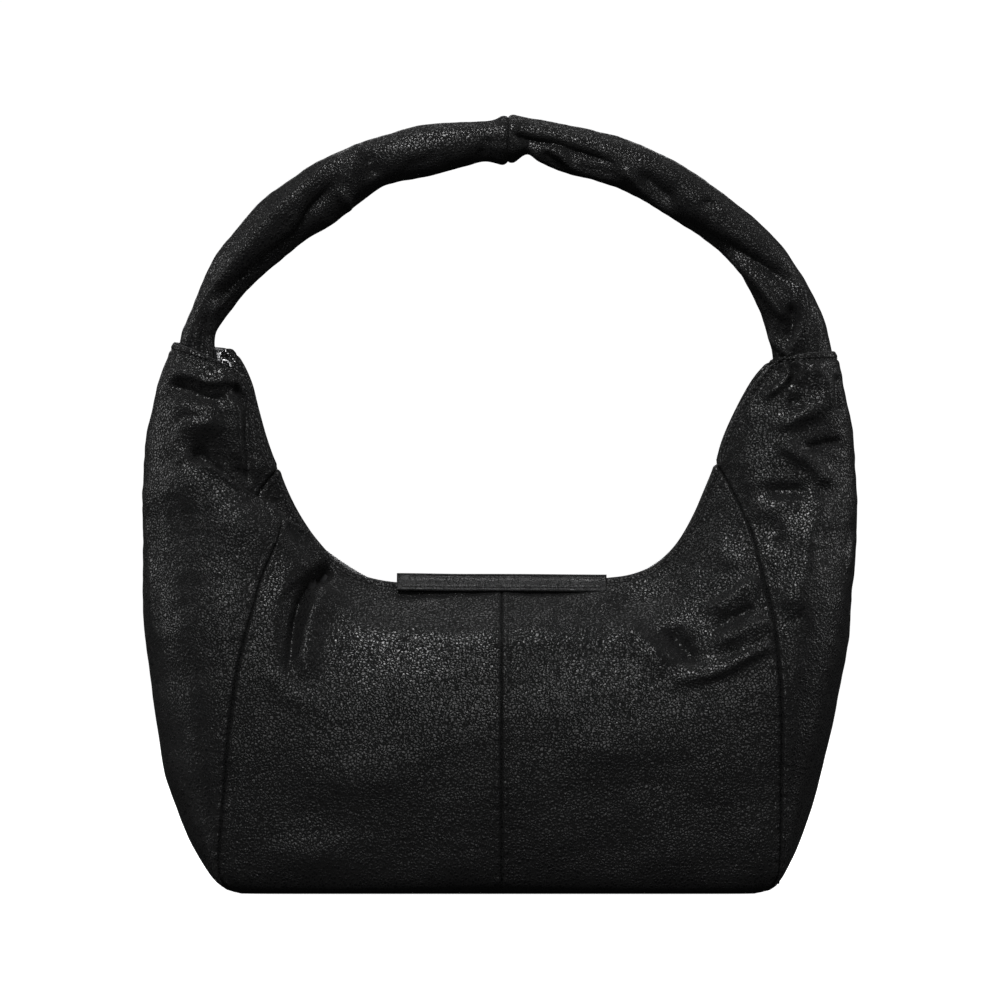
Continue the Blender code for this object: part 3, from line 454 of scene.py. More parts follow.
def new_material(name, colour, roughness, metallic=0.0, specular=0.5):
    made = bpy.data.materials.new(name)
    made.use_nodes = True
    tree = made.node_tree
    shader = tree.nodes["Principled BSDF"]
    shader.inputs["Base Color"].default_value = (*colour, 1)
    shader.inputs["Roughness"].default_value = roughness
    shader.inputs["Metallic"].default_value = metallic
    shader.inputs["Specular IOR Level"].default_value = specular
    return made, tree, shader


def node(tree, kind, settings=(), **values):
    made = tree.nodes.new(kind)
    for key, value in dict(settings).items():
        setattr(made, key, value)
    for key, value in values.items():
        made.inputs[key.replace("_", " ")].default_value = value
    return made


def mapped(tree, value, low, high, start=0.0, end=1.0, kind="SMOOTHSTEP"):
    """A value carried from low..high to start..end."""
    made = node(tree, "ShaderNodeMapRange", {"interpolation_type": kind})
    for key, number in (("From Min", low), ("From Max", high), ("To Min", start), ("To Max", end)):
        made.inputs[key].default_value = number
    tree.links.new(value, made.inputs["Value"])
    return made.outputs[0]


def mixed(tree, first, second, share):
    made = node(tree, "ShaderNodeMix", {"data_type": "FLOAT"})
    made.inputs[0].default_value = share
    tree.links.new(first, made.inputs[2])
    tree.links.new(second, made.inputs[3])
    return made.outputs[0]


def pebbles(tree, coords, cell):
    """A pebble grain in wandering coordinates: its height, and where the raised tops are."""
    link = tree.links.new
    wander = node(tree, "ShaderNodeTexNoise", Scale=110.0, Detail=3.0)
    link(coords, wander.inputs["Vector"])
    shift = node(tree, "ShaderNodeVectorMath", {"operation": "MULTIPLY_ADD"})
    shift.inputs[1].default_value = (0.0035, 0.0035, 0.0035)
    link(wander.outputs["Color"], shift.inputs[0])
    link(coords, shift.inputs[2])
    jitter = node(tree, "ShaderNodeTexNoise", Scale=520.0, Detail=2.0)
    link(coords, jitter.inputs["Vector"])
    jumble = node(tree, "ShaderNodeVectorMath", {"operation": "MULTIPLY_ADD"})
    jumble.inputs[1].default_value = (0.0016, 0.0016, 0.0016)
    link(jitter.outputs["Color"], jumble.inputs[0])
    link(shift.outputs[0], jumble.inputs[2])
    sheets = []
    for feature, size in (("DISTANCE_TO_EDGE", cell), ("DISTANCE_TO_EDGE", cell * 0.52), ("F1", cell)):
        cells = node(tree, "ShaderNodeTexVoronoi", {"feature": feature}, Scale=1.0 / size)
        link(jumble.outputs[0], cells.inputs["Vector"])
        sheets.append(cells.outputs["Distance"])
    creases = mapped(tree, sheets[0], 0.01, 0.27)
    cracks = mapped(tree, sheets[1], 0.0, 0.34)
    domes = mapped(tree, sheets[2], 0.0, 0.9, 1.0, 0.0, "LINEAR")
    tops = mixed(tree, creases, cracks, 0.38)
    return mixed(tree, tops, domes, 0.6), tops


def leather(name, colour, roughness, cell=0.0018, depth=0.00036, strength=1.0):
    """Black leather: glossy grain tops, dull creases whose colour is darkened to a tenth as painted shade,
    and patches where the grain is stronger.
    """
    made, tree, shader = new_material(name, colour, roughness, specular=0.5)
    link = tree.links.new
    coords = node(tree, "ShaderNodeTexCoord").outputs["Object"]
    height, tops = pebbles(tree, coords, cell)
    patches = node(tree, "ShaderNodeTexNoise", Scale=30.0, Detail=4.0, Roughness=0.6)
    link(coords, patches.inputs["Vector"])
    bump = node(tree, "ShaderNodeBump", Distance=depth)
    link(height, bump.inputs["Height"])
    link(mapped(tree, patches.outputs["Fac"], 0.35, 0.65, strength * 0.65, strength), bump.inputs["Strength"])
    link(bump.outputs[0], shader.inputs["Normal"])
    raised = mapped(tree, tops, 0.36, 0.54)
    link(mapped(tree, raised, 0, 1, 1.0, roughness), shader.inputs["Roughness"])
    # Painted shade: the grain's creases get a tenth of the colour, standing in for the shade that the bump
    # cannot cast
    shade = node(tree, "ShaderNodeMix", {"data_type": "RGBA"})
    shade.inputs[6].default_value = (*[c * 0.1 for c in colour], 1)
    shade.inputs[7].default_value = (*colour, 1)
    link(raised, shade.inputs[0])
    link(shade.outputs[2], shader.inputs["Base Color"])
    return made


def woven(name, colour, roughness, pitch):
    made, tree, shader = new_material(name, colour, roughness, specular=0.25)
    link = tree.links.new
    coords = node(tree, "ShaderNodeTexCoord").outputs["Object"]
    sheets = []
    for direction in ("X", "Z"):
        settings = {"bands_direction": direction}
        band = node(tree, "ShaderNodeTexWave", settings, Scale=0.16 / pitch, Distortion=0.6)
        link(coords, band.inputs["Vector"])
        sheets.append(band.outputs["Fac"])
    both = node(tree, "ShaderNodeMath", {"operation": "MULTIPLY"})
    link(sheets[0], both.inputs[0])
    link(sheets[1], both.inputs[1])
    bump = node(tree, "ShaderNodeBump", Distance=pitch * 0.3, Strength=0.6)
    link(both.outputs[0], bump.inputs["Height"])
    link(bump.outputs[0], shader.inputs["Normal"])
    return made


def metal(name, colour, roughness):
    made, tree, shader = new_material(name, colour, roughness, metallic=1.0)
    link = tree.links.new
    coords = node(tree, "ShaderNodeTexCoord").outputs["Object"]
    marks = node(tree, "ShaderNodeTexNoise", Scale=900.0, Detail=2.0)
    link(coords, marks.inputs["Vector"])
    rough = node(tree, "ShaderNodeMapRange")
    rough.inputs["To Min"].default_value = roughness * 0.7
    rough.inputs["To Max"].default_value = roughness * 1.5
    link(marks.outputs["Fac"], rough.inputs["Value"])
    link(rough.outputs[0], shader.inputs["Roughness"])
    return made


LEATHER = leather("black_leather", (0.007, 0.007, 0.0075), 0.22)
# The strip's leather is painted lighter than the bag's, a painted highlight for the light its upward-tilted
# front catches; its finer, smoother grain is real
SMOOTH_LEATHER_PAINTED_LIGHT = leather("strip_leather", (0.03, 0.03, 0.031), 0.34, cell=0.0009, depth=0.0001, strength=0.8)
# The edge leather is painted far lighter than the bag's black, a painted highlight for the light caught along
# the shoulders' folded edges; the handle's anchor tabs share it
EDGE = leather("leather_edge", (0.085, 0.085, 0.088), 0.3, cell=0.0009, depth=0.0001, strength=0.6)
THREAD, _, _ = new_material("thread", (0.03, 0.03, 0.031), 0.45)
LINING = woven("lining_cloth", (0.02, 0.02, 0.021), 0.8, 0.0005)
TAPE = woven("zip_tape", (0.010, 0.010, 0.011), 0.75, 0.0006)
NICKEL = metal("nickel", (0.78, 0.78, 0.79), 0.18)
BOARD = woven("grey_board", (0.25, 0.23, 0.2), 0.9, 0.0012)
CORE = woven("handle_core", (0.5, 0.47, 0.42), 0.9, 0.0014)


# ---------------------------------------------------------------- skin

ROWS = spaced(235, 0.5, 1.2)
COLUMNS = spaced(158, 0.32, 1.15)
SHOULDER_ROWS = spaced(80, 0.6, 1.1, starts=False)[1:]
ARC = spaced(72, 0.32, 1.15, ends=False)


def centre_quarter(side, face):
    """Half of the front (face -1) or back (face 1) panel, rows from the base up to the lip."""
    flip = np.array([side, -face, 1])
    centre, seam = at_shares(CENTRE, ROWS), at_shares(SEAM[side], ROWS)
    base = at_shares([CENTRE[0], (60, -57, 0), (110, -57, 0), (138, -56.4, 0), SEAM[side][0]], COLUMNS)
    lip = at_shares([(x, -11 - 0.5 * x / 130, z) for x, z in LIP[side]], COLUMNS)
    grid = coons(base, lip, centre, seam, COLUMNS, ROWS) * flip
    middle = 1 - COLUMNS[None, :]
    grid[..., 0] += SEAM_X * middle
    return grid


def side_edge(side, face):
    seam = at_shares(SEAM[side], ROWS)
    return np.vstack([seam, at_shares([SEAM[side][-1], *SHOULDER[side, face]], SHOULDER_ROWS)])


def side_sheet(side):
    """The side panel from its front edge round the outline to its back edge."""
    front, halves = side_edge(side, -1), []
    top = front[-1, 2]
    outline = softened(OUTLINE[side], 5)
    outline_z = front[:, 2] + (OUTLINE[side][-1][1] - top) * (front[:, 2] / top) ** 2
    outline_x = np.interp(outline_z, outline[:, 1], outline[:, 0])
    widest = dense(WIDEST)
    for face in (-1, 1):
        x, y, z = side_edge(side, face).T
        depth = np.maximum(np.interp(z, widest[:, 1], widest[:, 0]), -y + 0.05)
        start = math.pi - np.arcsin(np.minimum(1, -y / depth))
        width = (outline_x - x) / (1 - np.cos(start))
        angle = start[:, None] * (1 - ARC[None])
        px = outline_x[:, None] - width[:, None] * (1 - np.cos(angle))
        py = depth[:, None] * np.sin(angle) * face
        lift = (px - x[:, None]) / (outline_x - x)[:, None]
        power = 1 - 0.45 * smoothstep(z, 290, 312) * (side > 0)
        pz = z[:, None] + (outline_z - z)[:, None] * np.clip(lift, 0, 1) ** power[:, None]
        halves.append(np.stack([px * side, py, pz], -1))
    return np.concatenate([halves[0], halves[1][:, -2::-1]], axis=1)


def along_distance(grid, axis, from_end):
    """Distance from the grid's first or last line, measured over the surface."""
    steps = np.linalg.norm(np.diff(grid, axis=axis), axis=-1)
    if from_end:
        total = np.flip(np.cumsum(np.flip(steps, axis), axis), axis)
        pad = [(0, 1), (0, 0)] if axis == 0 else [(0, 0), (0, 1)]
    else:
        total = np.cumsum(steps, axis)
        pad = [(1, 0), (0, 0)] if axis == 0 else [(0, 0), (1, 0)]
    return np.pad(total, pad)


def seam_shape(gap, along, seed):
    """A narrow groove between two rounded edges, a little puckered along its length."""
    pucker = 0.25 * np.sin(along * 0.9 + seed) * np.sin(along * 0.23 + 2 * seed)
    return -1.5 * np.exp(-gap / 0.55) + (0.45 + pucker) * np.exp(-(((gap - 2.4) / 1.8) ** 2))


def hem_shape(gap):
    """The turned edge: a soft welt, then the line that its stitches pull down."""
    welt = 0.6 * np.exp(-(((gap - 1.6) / 1.3) ** 2))
    return welt - 1.1 * np.exp(-(((gap - STITCH_IN) / 0.7) ** 2)) + 0.5 * np.exp(-(((gap - 6.2) / 1.8) ** 2))


skin = {}
for side in (1, -1):
    for face in (-1, 1):
        skin["centre", side, face] = centre_quarter(side, face)
    skin["side", side] = side_sheet(side)


def skin_normals():
    """Outward normals of the whole skin, shared where panels meet and then smoothed."""
    found = {}
    for name, grid in skin.items():
        normal = normals_of(grid)
        middle = grid[grid.shape[0] // 3, grid.shape[1] // 2]
        inside = np.array([middle[0] * 0.5, 0, middle[2]])
        if normal[grid.shape[0] // 3, grid.shape[1] // 2] @ (middle - inside) < 0:
            normal = -normal
        found[name] = normal
    places = np.round(np.vstack([grid.reshape(-1, 3) for grid in skin.values()]), 2)
    _, group = np.unique(places, axis=0, return_inverse=True)
    group = group.reshape(-1)
    ends = np.cumsum([grid.size // 3 for grid in skin.values()])[:-1]

    def shared():
        total = np.zeros((group.max() + 1, 3))
        np.add.at(total, group, np.vstack([n.reshape(-1, 3) for n in found.values()]))
        parts = np.split(unit(total)[group], ends)
        return {name: part.reshape(skin[name].shape) for name, part in zip(skin, parts)}

    for _ in range(12):
        for name, normal in shared().items():
            padded = np.pad(normal, [(1, 1), (1, 1), (0, 0)], mode="edge")
            around = padded[:-2, 1:-1] + padded[2:, 1:-1] + padded[1:-1, :-2] + padded[1:-1, 2:]
            found[name] = unit(2 * normal + around)
    return shared()


def soft_shape(points):
    """Folds and ripples, fading out at the base."""
    folds = both_sides(points, FRONT_FOLDS, BACK_FOLDS)
    z = points[..., 2]
    ripple = waves(points, 0.45, 34, 80, 9, 4)
    ripple += waves(points, 0.16, 12, 24, 12, 5) * (0.5 + smoothstep(z, 90, 200))
    crumpled = np.clip(np.abs(folds) * 0.5 + smoothstep(z, 110, 220) * 0.6, 0, 1.2)
    fine = waves(points, 0.10, 5, 9, 14, 6) * crumpled
    return (folds + ripple + fine) * smoothstep(z, 0, 22)


flat_skin = {name: grid.copy() for name, grid in skin.items()}
sunk = {}
steps = skin_normals()
junction = len(ROWS) - 1
for name, grid in flat_skin.items():
    along = along_distance(grid, 0, False)
    if name[0] == "centre":
        lip_gap = along_distance(grid, 0, True)
    else:
        below = np.maximum(along[junction] - along, 0)
        across = np.minimum(along_distance(grid, 1, False), along_distance(grid, 1, True))
        lip_gap = np.minimum(np.hypot(across, below), along_distance(grid, 0, True))
    raised = soft_shape(grid) * (0.12 + 0.88 * smoothstep(lip_gap, 0, 9))
    if name[0] == "centre":
        raised += seam_shape(along_distance(grid, 1, False), along, 1.0)
        raised += seam_shape(along_distance(grid, 1, True), along, 2.0)
        raised += hem_shape(along_distance(grid, 0, True)) * smoothstep(along_distance(grid, 1, True), 0, 1.5)
    else:
        for from_end in (False, True):
            gap = along_distance(grid, 1, from_end)
            above = np.clip((np.arange(len(grid))[:, None] - junction) / 3, 0, 1)
            raised += (1 - above) * seam_shape(gap, along, 2.0) + above * hem_shape(gap)
        raised += hem_shape(along_distance(grid, 0, True)) * 0.6
    low = smoothstep(grid[..., 2], 0, 3)
    skin[name] = grid + steps[name] * (raised * low)[..., None]
    sunk[name] = np.maximum(-raised * low - 0.6, 0)[..., None] * steps[name]

# Panels share their seam points, so the groove's bottom is set from the centre panel
for side in (1, -1):
    for face, column in ((-1, 0), (1, -1)):
        skin["side", side][: junction + 1, column] = skin["centre", side, face][:, -1]
for face in (-1, 1):
    meet = (skin["centre", 1, face][:, 0] + skin["centre", -1, face][:, 0]) / 2
    skin["centre", 1, face][:, 0] = meet
    skin["centre", -1, face][:, 0] = meet


def rolled(path, inner, normal, reach=5.0):
    """The leather turned over an edge: from the path's points over a small radius and down inside."""
    tangent = unit(np.gradient(path, axis=0))
    up = unit(np.cross(normal, tangent))
    up *= np.sign((up * (path - inner)).sum(1, keepdims=True))
    axis = np.stack([np.sign(path[:, 0]) * 178.0, 0 * path[:, 0]], 1)
    across = np.stack([0 * path[:, 0], -np.sign(path[:, 1] + 1e-6)], 1)
    share = smoothstep(path[:, 2], 302, 313)[:, None] * (np.abs(path[:, :1]) > 140)
    inward = unit((1 - share) * across + share * unit(axis - path[:, :2]))
    inward = np.hstack([inward, np.zeros((len(path), 1))])
    turn = np.arccos(np.clip((normal * inward).sum(1), -1, 1))
    turn = np.clip(turn, 1.9, 3.0)[:, None]
    rows = [path]
    for t in np.linspace(0, 1, 9)[1:]:
        angle = turn * t
        rows.append(path + ROLL * (normal * (np.cos(angle) - 1) + up * np.sin(angle)))
    down = -normal * np.sin(turn) + up * np.cos(turn)
    for depth in (1, 2.5, reach):
        rows.append(rows[8] + down * depth)
    return np.array(rows)


for side, side_name in SIDES.items():
    for face, face_name in FACES.items():
        grid = skin["centre", side, face]
        normal = unit(smooth_line(steps["centre", side, face][-1], 8))
        roll = rolled(grid[-1], grid[-4], normal)
        name = f"{face_name}_panel_{side_name}"
        stands_for(build(f"{name}_skin", [grid, roll], LEATHER, (0, face, 0)), name)
    grid, normal = skin["side", side], steps["side", side]
    path = np.vstack([grid[junction:-1, 0], grid[-1], grid[-2 : junction - 1 : -1, -1]])
    inner = np.vstack([grid[junction:-1, 3], grid[-4], grid[-2 : junction - 1 : -1, -4]])
    ways = np.vstack([normal[junction:-1, 0], normal[-1], normal[-2 : junction - 1 : -1, -1]])
    roll = rolled(path, inner, unit(smooth_line(ways, 8)))
    name = f"side_panel_{side_name}"
    stands_for(build(f"{name}_skin", [grid, roll], LEATHER, (side, 0, 0)), name)


# ---------------------------------------------------------------- base, lining, pocket, facings


def base_loop():
    """The skin's bottom edge, all the way round."""
    parts = []
    for side, face in ((1, -1), (1, 1), (-1, 1), (-1, -1)):
        row, arc = skin["centre", side, face][0], skin["side", side][0]
        half = len(ARC)
        arc = arc[:half] if face < 0 else arc[half - 1 :]
        if side > 0:
            parts += [row[:-1], arc[:-1]] if face < 0 else [arc[:-1], row[:0:-1]]
        else:
            parts += [row[:-1], arc[:0:-1]] if face > 0 else [arc[:0:-1], row[:0:-1]]
    return np.vstack(parts)


loop = base_loop()
loop = np.vstack([loop, loop[:1]])
rings = []
for inset, height in ((0, 0.35), (0.8, 0.1), (2.5, 0.0), (12, 0.0), (30, 0.4), (46, 0.9), (56.5, 1.0)):
    size = np.abs(loop[:, :2]).max(0)
    ring = loop.copy()
    ring[:, :2] *= 1 - inset / size
    ring[:, 2] = np.where(inset > 0, height, loop[:, 2])
    rings.append(ring)
rings.append(rings[-1] * (1, 0, 1))
base_skin = build("base_panel_skin", [np.array(rings)], LEATHER, (0, 0, -1))
stands_for(base_skin, "base_panel")


def lining_grids(face):
    """The skin moved in by the lining's depth, thinned out, with half of the floor."""
    grids = []
    for side in (1, -1):
        keys = ("centre", side, face), ("side", side)
        centre, arc = [flat_skin[key] - LINING_IN * steps[key] - sunk[key] for key in keys]
        half = len(ARC)
        arc = arc[:, :half] if face < 0 else arc[:, half - 1 :][:, ::-1]
        arc = arc[: junction + 1 + 3 * len(SHOULDER_ROWS) // 4]
        middle = np.linspace(0, junction, 40).astype(int)
        upper = np.linspace(junction, len(arc) - 1, 14).astype(int)[1:]
        columns = np.linspace(0, len(COLUMNS) - 1, 36).astype(int)
        arcs = np.linspace(0, half - 1, 20).astype(int)
        centre, arc = centre[np.ix_(middle, columns)], arc[np.ix_(np.append(middle, upper), arcs)]
        arc[: len(middle), 0] = centre[:, -1]
        for grid in (centre, arc):
            grid[..., 2] = np.maximum(grid[..., 2], 4.2)
            top = np.hypot(grid[..., 0], grid[..., 2] - ZIP_Z) - ZIP_RADIUS - CHAIN_IN
            outward = np.stack([grid[..., 0], 0 * top, grid[..., 2] - ZIP_Z], -1)
            lip = (np.abs(grid[..., 1]) < 30) & (top < 0)
            grid -= np.where(lip, top, 0)[..., None] * unit(outward)
            inside = lip & (np.abs(grid[..., 1]) < LINING_Y)
            grid[..., 1] = np.where(inside, face * LINING_Y, grid[..., 1])
        bottom = np.vstack([centre[0], arc[0, 1:]])
        floor = np.stack([bottom * (1, share, 1) for share in (1, 0.7, 0.35, 0)])
        grids += [centre, arc, floor]
    return grids


for face, name in FACES.items():
    cloth = build(f"lining_{name}_cloth", lining_grids(face), LINING, (0, face, 0))
    stands_for(cloth, f"lining_{name}")


def slab(centre, normal, across, up, thickness, edge):
    """Front and back sheets of a plate whose rim is rounded, from a grid of middle points."""
    wide = np.minimum(across[None, :] - across[0], across[-1] - across[None, :])
    high = np.minimum(up[:, None] - up[0], up[-1] - up[:, None])
    rim = np.clip(np.minimum(wide, high) / edge, 0, 1)
    half = thickness / 2 * np.sqrt(1 - (1 - rim) ** 2)
    return [centre + normal * half[..., None], centre - normal * half[..., None]]


def rim_steps(length, edge, inner=24):
    ends = edge * np.array([0, 0.03, 0.12, 0.27, 0.5, 0.75, 1])
    return np.concatenate([ends, np.linspace(edge, length - edge, inner)[1:-1], length - ends[::-1]])


pocket_rows = np.linspace(int(0.36 * junction), int(0.7 * junction), 24).astype(int)
pocket_columns = np.linspace(0, int(0.66 * len(COLUMNS)), 24).astype(int)
halves, ways = [], []
for side in (-1, 1):
    part = flat_skin["centre", side, 1][np.ix_(pocket_rows, pocket_columns)]
    way = steps["centre", side, 1][np.ix_(pocket_rows, pocket_columns)]
    halves.append(part[:, ::-1] if side < 0 else part[:, 1:])
    ways.append(way[:, ::-1] if side < 0 else way[:, 1:])
part, way = np.concatenate(halves, 1), np.concatenate(ways, 1)
wide, high = np.linspace(-1, 1, part.shape[1]), np.linspace(0, 1, part.shape[0])
sag = 14 * np.outer(np.sin(high * math.pi / 2), np.cos(wide * math.pi / 2))
part = part - way * (8.4 + sag)[..., None]
sheets = slab(part, way, np.linspace(0, 235, part.shape[1]), np.linspace(0, 80, part.shape[0]), 0.8, 3.0)
pocket = build("slip_pocket_cloth", sheets, LINING, (0, 1, 0))
stands_for(pocket, "slip_pocket")


def lip_line(side, face):
    """The whole lip of one side, from the middle out to the shoulder, as it lies after folding."""
    shoulder = skin["side", side][junction + 1 :, 0 if face < 0 else -1]
    return np.vstack([skin["centre", side, face][-1], shoulder])


for face, name in FACES.items():
    line = np.vstack([lip_line(-1, face)[:0:-1], lip_line(1, face)])
    line = line[np.abs(line[:, 0]) < 163]
    distance = np.hypot(line[:, 0], line[:, 2] - ZIP_Z)
    radial = np.stack([line[:, 0], line[:, 2] - ZIP_Z], 1) / distance[:, None]
    rows = []
    for share in np.linspace(0, 1, 8):
        radius = distance + 1.5 + share * (ZIP_RADIUS + CHAIN_IN - distance - 1.5)
        y = np.full(len(line), face * (8.9 - 0.9 * math.sin(share * math.pi / 2)))
        rows.append(np.stack([radial[:, 0] * radius, y, ZIP_Z + radial[:, 1] * radius], 1))
    facing = build(f"mouth_facing_{name}_skin", [np.array(rows)], LEATHER, (0, -face, 0))
    stands_for(facing, f"mouth_facing_{name}")


# ---------------------------------------------------------------- zip


def on_arc(degrees, radius, y):
    angle = np.radians(degrees)
    return np.stack([radius * np.sin(angle), y + 0 * angle, ZIP_Z - radius * np.cos(angle)], -1)


def along_chain(along, y, height, degrees=SLIDER_DEG):
    """A point by distance along the chain, across it, and towards the zip's centre."""
    angle = math.radians(degrees)
    tangent = np.array([math.cos(angle), 0, math.sin(angle)])
    inward = np.array([-math.sin(angle), 0, math.cos(angle)])
    start = np.array([ZIP_RADIUS * math.sin(angle), 0, ZIP_Z - ZIP_RADIUS * math.cos(angle)])
    along, y, height = np.broadcast_arrays(along, y, height)
    return start + along[..., None] * tangent + height[..., None] * inward + y[..., None] * (0, 1, 0)


for face, name in FACES.items():
    degrees = np.linspace(-85.7, 85.7, 240)
    profile = [(2.2, 0.0), (2.2, 0.5), (5.0, 0.55), (7.9, 1.6), (7.9, 1.1), (5.0, 0.05), (2.2, 0.0)]
    tape = np.array([on_arc(degrees, ZIP_RADIUS + drop, face * y) for y, drop in profile])
    cloth = build(f"zip_tape_{name}_cloth", [tape], TAPE, None)
    stands_for(cloth, f"zip_tape_{name}")


def block(low, high, bevel):
    """A box with cut corners, as 24 points and its faces."""
    points = []
    for corner in np.ndindex(2, 2, 2):
        for axis in range(3):
            point = [high[k] if corner[k] else low[k] for k in range(3)]
            for k in range(3):
                if k != axis:
                    point[k] += -bevel if corner[k] else bevel
            points.append(point)
    return np.array(points, float)


def hull_mesh(name, clouds):
    """One metal piece of the bag from many convex clouds of points."""
    mesh = bpy.data.meshes.new(name)
    work = bmesh.new()
    shape = bmesh.new()
    for point in clouds[0]:
        shape.verts.new(point * 0.001)
    bmesh.ops.convex_hull(shape, input=shape.verts)
    shape.verts.index_update()
    order = [[v.index for v in face.verts] for face in shape.faces]
    shape.free()
    for cloud in clouds:
        made = [work.verts.new(point * 0.001) for point in cloud]
        for loop in order:
            work.faces.new([made[k] for k in loop])
    bmesh.ops.dissolve_limit(work, angle_limit=0.02, verts=work.verts, edges=work.edges)
    bmesh.ops.recalc_face_normals(work, faces=work.faces)
    work.to_mesh(mesh)
    work.free()
    made = placed(name, mesh, NICKEL)
    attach(made, "bag")
    return made


TOOTH = block((-0.72, -0.3, -0.2), (0.72, 3.4, 1.6), 0.28)
for face, name, shift in ((-1, "front", 0.0), (1, "back", 0.5)):
    clouds = []
    for degrees in np.arange(-84.2 + shift, 84.3, 1.0):
        clouds.append(along_chain(TOOTH[:, 0], face * TOOTH[:, 1], TOOTH[:, 2], degrees))
    teeth = hull_mesh(f"zip_teeth_{name}_metal", clouds)
    stands_for(teeth, f"zip_teeth_{name}")

for side, name in ((-1, "left"), (1, "right")):
    shape = block((-1.3, -2.4, -1.0), (1.3, 2.4, 2.4), 0.6)
    stop = hull_mesh(f"zip_stop_{name}_metal", [along_chain(*shape.T, side * STOP_DEG)])
    stands_for(stop, f"zip_stop_{name}")

# The chain's end folded over the back lip at the left shoulder
end_path = dense([(-168.5, 5.5, 318.6), (-163.5, 8.2, 317.8), (-159, 10, 314.5), (-155.5, 10.6, 309.5)], 8)
end_along = lengths(end_path)
clouds = []
for place in np.arange(0.8, end_along[-1], 2.0):
    middle = np.array([np.interp(place, end_along, column) for column in end_path.T])
    ahead = np.array([np.interp(place + 0.5, end_along, column) for column in end_path.T]) - middle
    tangent = unit(ahead)
    across = unit(np.cross(tangent, (0.3, -0.5, 0.8)))
    high = np.cross(across, tangent)
    long = 3.4 if place < 2 else 0.62
    shape = block((-long, -1.7, -0.6), (long, 1.7, 0.9), 0.25)
    clouds.append(middle + shape @ np.array([tangent, across, high]))
for name, part in (("zip_end_metal", clouds[:1]), ("zip_end_teeth_metal", clouds[2:])):
    hull_mesh(name, part)


def swept(path, radii, sides=16, squash=1.0):
    """A closed tube along a path, with flat ends."""
    tangent = unit(np.gradient(path, axis=0))
    guide = np.array([0, 1.0, 0.001])
    across = unit(np.cross(tangent, guide))
    other = np.cross(across, tangent)
    turn = np.linspace(0, 2 * math.pi, sides + 1)
    rings = [path[0] + 0 * turn[:, None]]
    for k in range(len(path)):
        spoke = across[k] * np.cos(turn)[:, None] + squash * other[k] * np.sin(turn)[:, None]
        rings.append(path[k] + radii[k] * spoke)
    rings.append(path[-1] + 0 * turn[:, None])
    return np.array(rings)


def plate_on_chain(low, high, length, taper):
    """A slider plate: wide at the mouth end, narrower at the tail, with a rounded rim."""
    along, across = rim_steps(length, 1.4, 8) - length / 2, rim_steps(2.0, 0.25, 8) - 1.0
    a, w = np.meshgrid(along, across)
    width = 5.0 - taper * smoothstep(a, -length / 2, length / 2)
    curve = 0.45 * (1 - w**2)
    middle = along_chain(a, w * width, (low + high) / 2 + curve * np.sign(high))
    up = along_chain(0.0, 0.0, 1.0) - along_chain(0.0, 0.0, 0.0)
    return slab(middle, up, along, across * 5, high - low, 1.0)


slider_parts = plate_on_chain(1.8, 3.1, 12, 1.2) + plate_on_chain(-2.4, -1.1, 12, 1.2)
arch = dense([(-4.2, 2.6), (-4.0, 4.6), (-2.6, 6.4), (0, 6.9), (2.6, 6.4), (4.0, 4.6), (4.2, 2.6)], 5)
slider_parts.append(swept(along_chain(arch[:, 0], 0.0, arch[:, 1]), np.full(len(arch), 0.75), 12, 1.5))
post = np.array([-1.4, 0.0, 2.0])
slider_parts.append(swept(along_chain(np.full(3, 4.0), 0.0, post), np.full(3, 0.7), 10))
slider = build("zip_slider_metal", slider_parts, NICKEL, None, "zip_slider")
stands_for(slider, "zip_slider")


def pull_place(along, y, height):
    """A point on the pull, lifted from the chain about its hinge."""
    turned = along * math.cos(PULL_LIFT) - height * math.sin(PULL_LIFT)
    return along_chain(turned, y, 4.5 + along * math.sin(PULL_LIFT) + height * math.cos(PULL_LIFT))


frame_turn = np.linspace(0, 2 * math.pi, 41)
loop_a = 2.9 + 3.0 * np.sign(np.cos(frame_turn)) * np.abs(np.cos(frame_turn)) ** 0.7
loop_y = 2.5 * np.sign(np.sin(frame_turn)) * np.abs(np.sin(frame_turn)) ** 0.7
ring_path = pull_place(loop_a, loop_y, np.zeros(41))
ring_tangent = unit(np.gradient(ring_path, axis=0))
pivot = np.array(0.0)
ring_up = unit(pull_place(pivot, pivot, pivot + 1) - pull_place(pivot, pivot, pivot))
ring_side = unit(np.cross(ring_tangent, ring_up))
turn = np.linspace(0, 2 * math.pi, 13)
spokes = ring_side[:, None] * np.cos(turn)[None, :, None] + ring_up * np.sin(turn)[None, :, None]
ring = ring_path[:, None] + 0.75 * spokes
ring[-1] = ring[0]
along, across = rim_steps(14.6, 1.0, 12) + 5.4, rim_steps(2.0, 0.3, 8) - 1.0
a, w = np.meshgrid(along, across)
width = 2.5 + 0.5 * smoothstep(a, 6, 18)
tab = slab(pull_place(a, w * width, 0 * a), ring_up, along, across * 3, 1.4, 0.7)
pull = build("zip_pull_metal", [ring] + tab, NICKEL, None, "zip_pull")
stands_for(pull, "zip_pull")


# ---------------------------------------------------------------- strip, collars' edges, stitches


# Rings of one stitch: share of its half length, share of its thickness, and height over the leather
STITCH_RINGS = [(-1, 0.35, -0.35), (-0.6, 0.9, 0.05), (0, 1, 0.16), (0.6, 0.9, 0.05), (1, 0.35, -0.35)]
STITCH_SIDES = 6


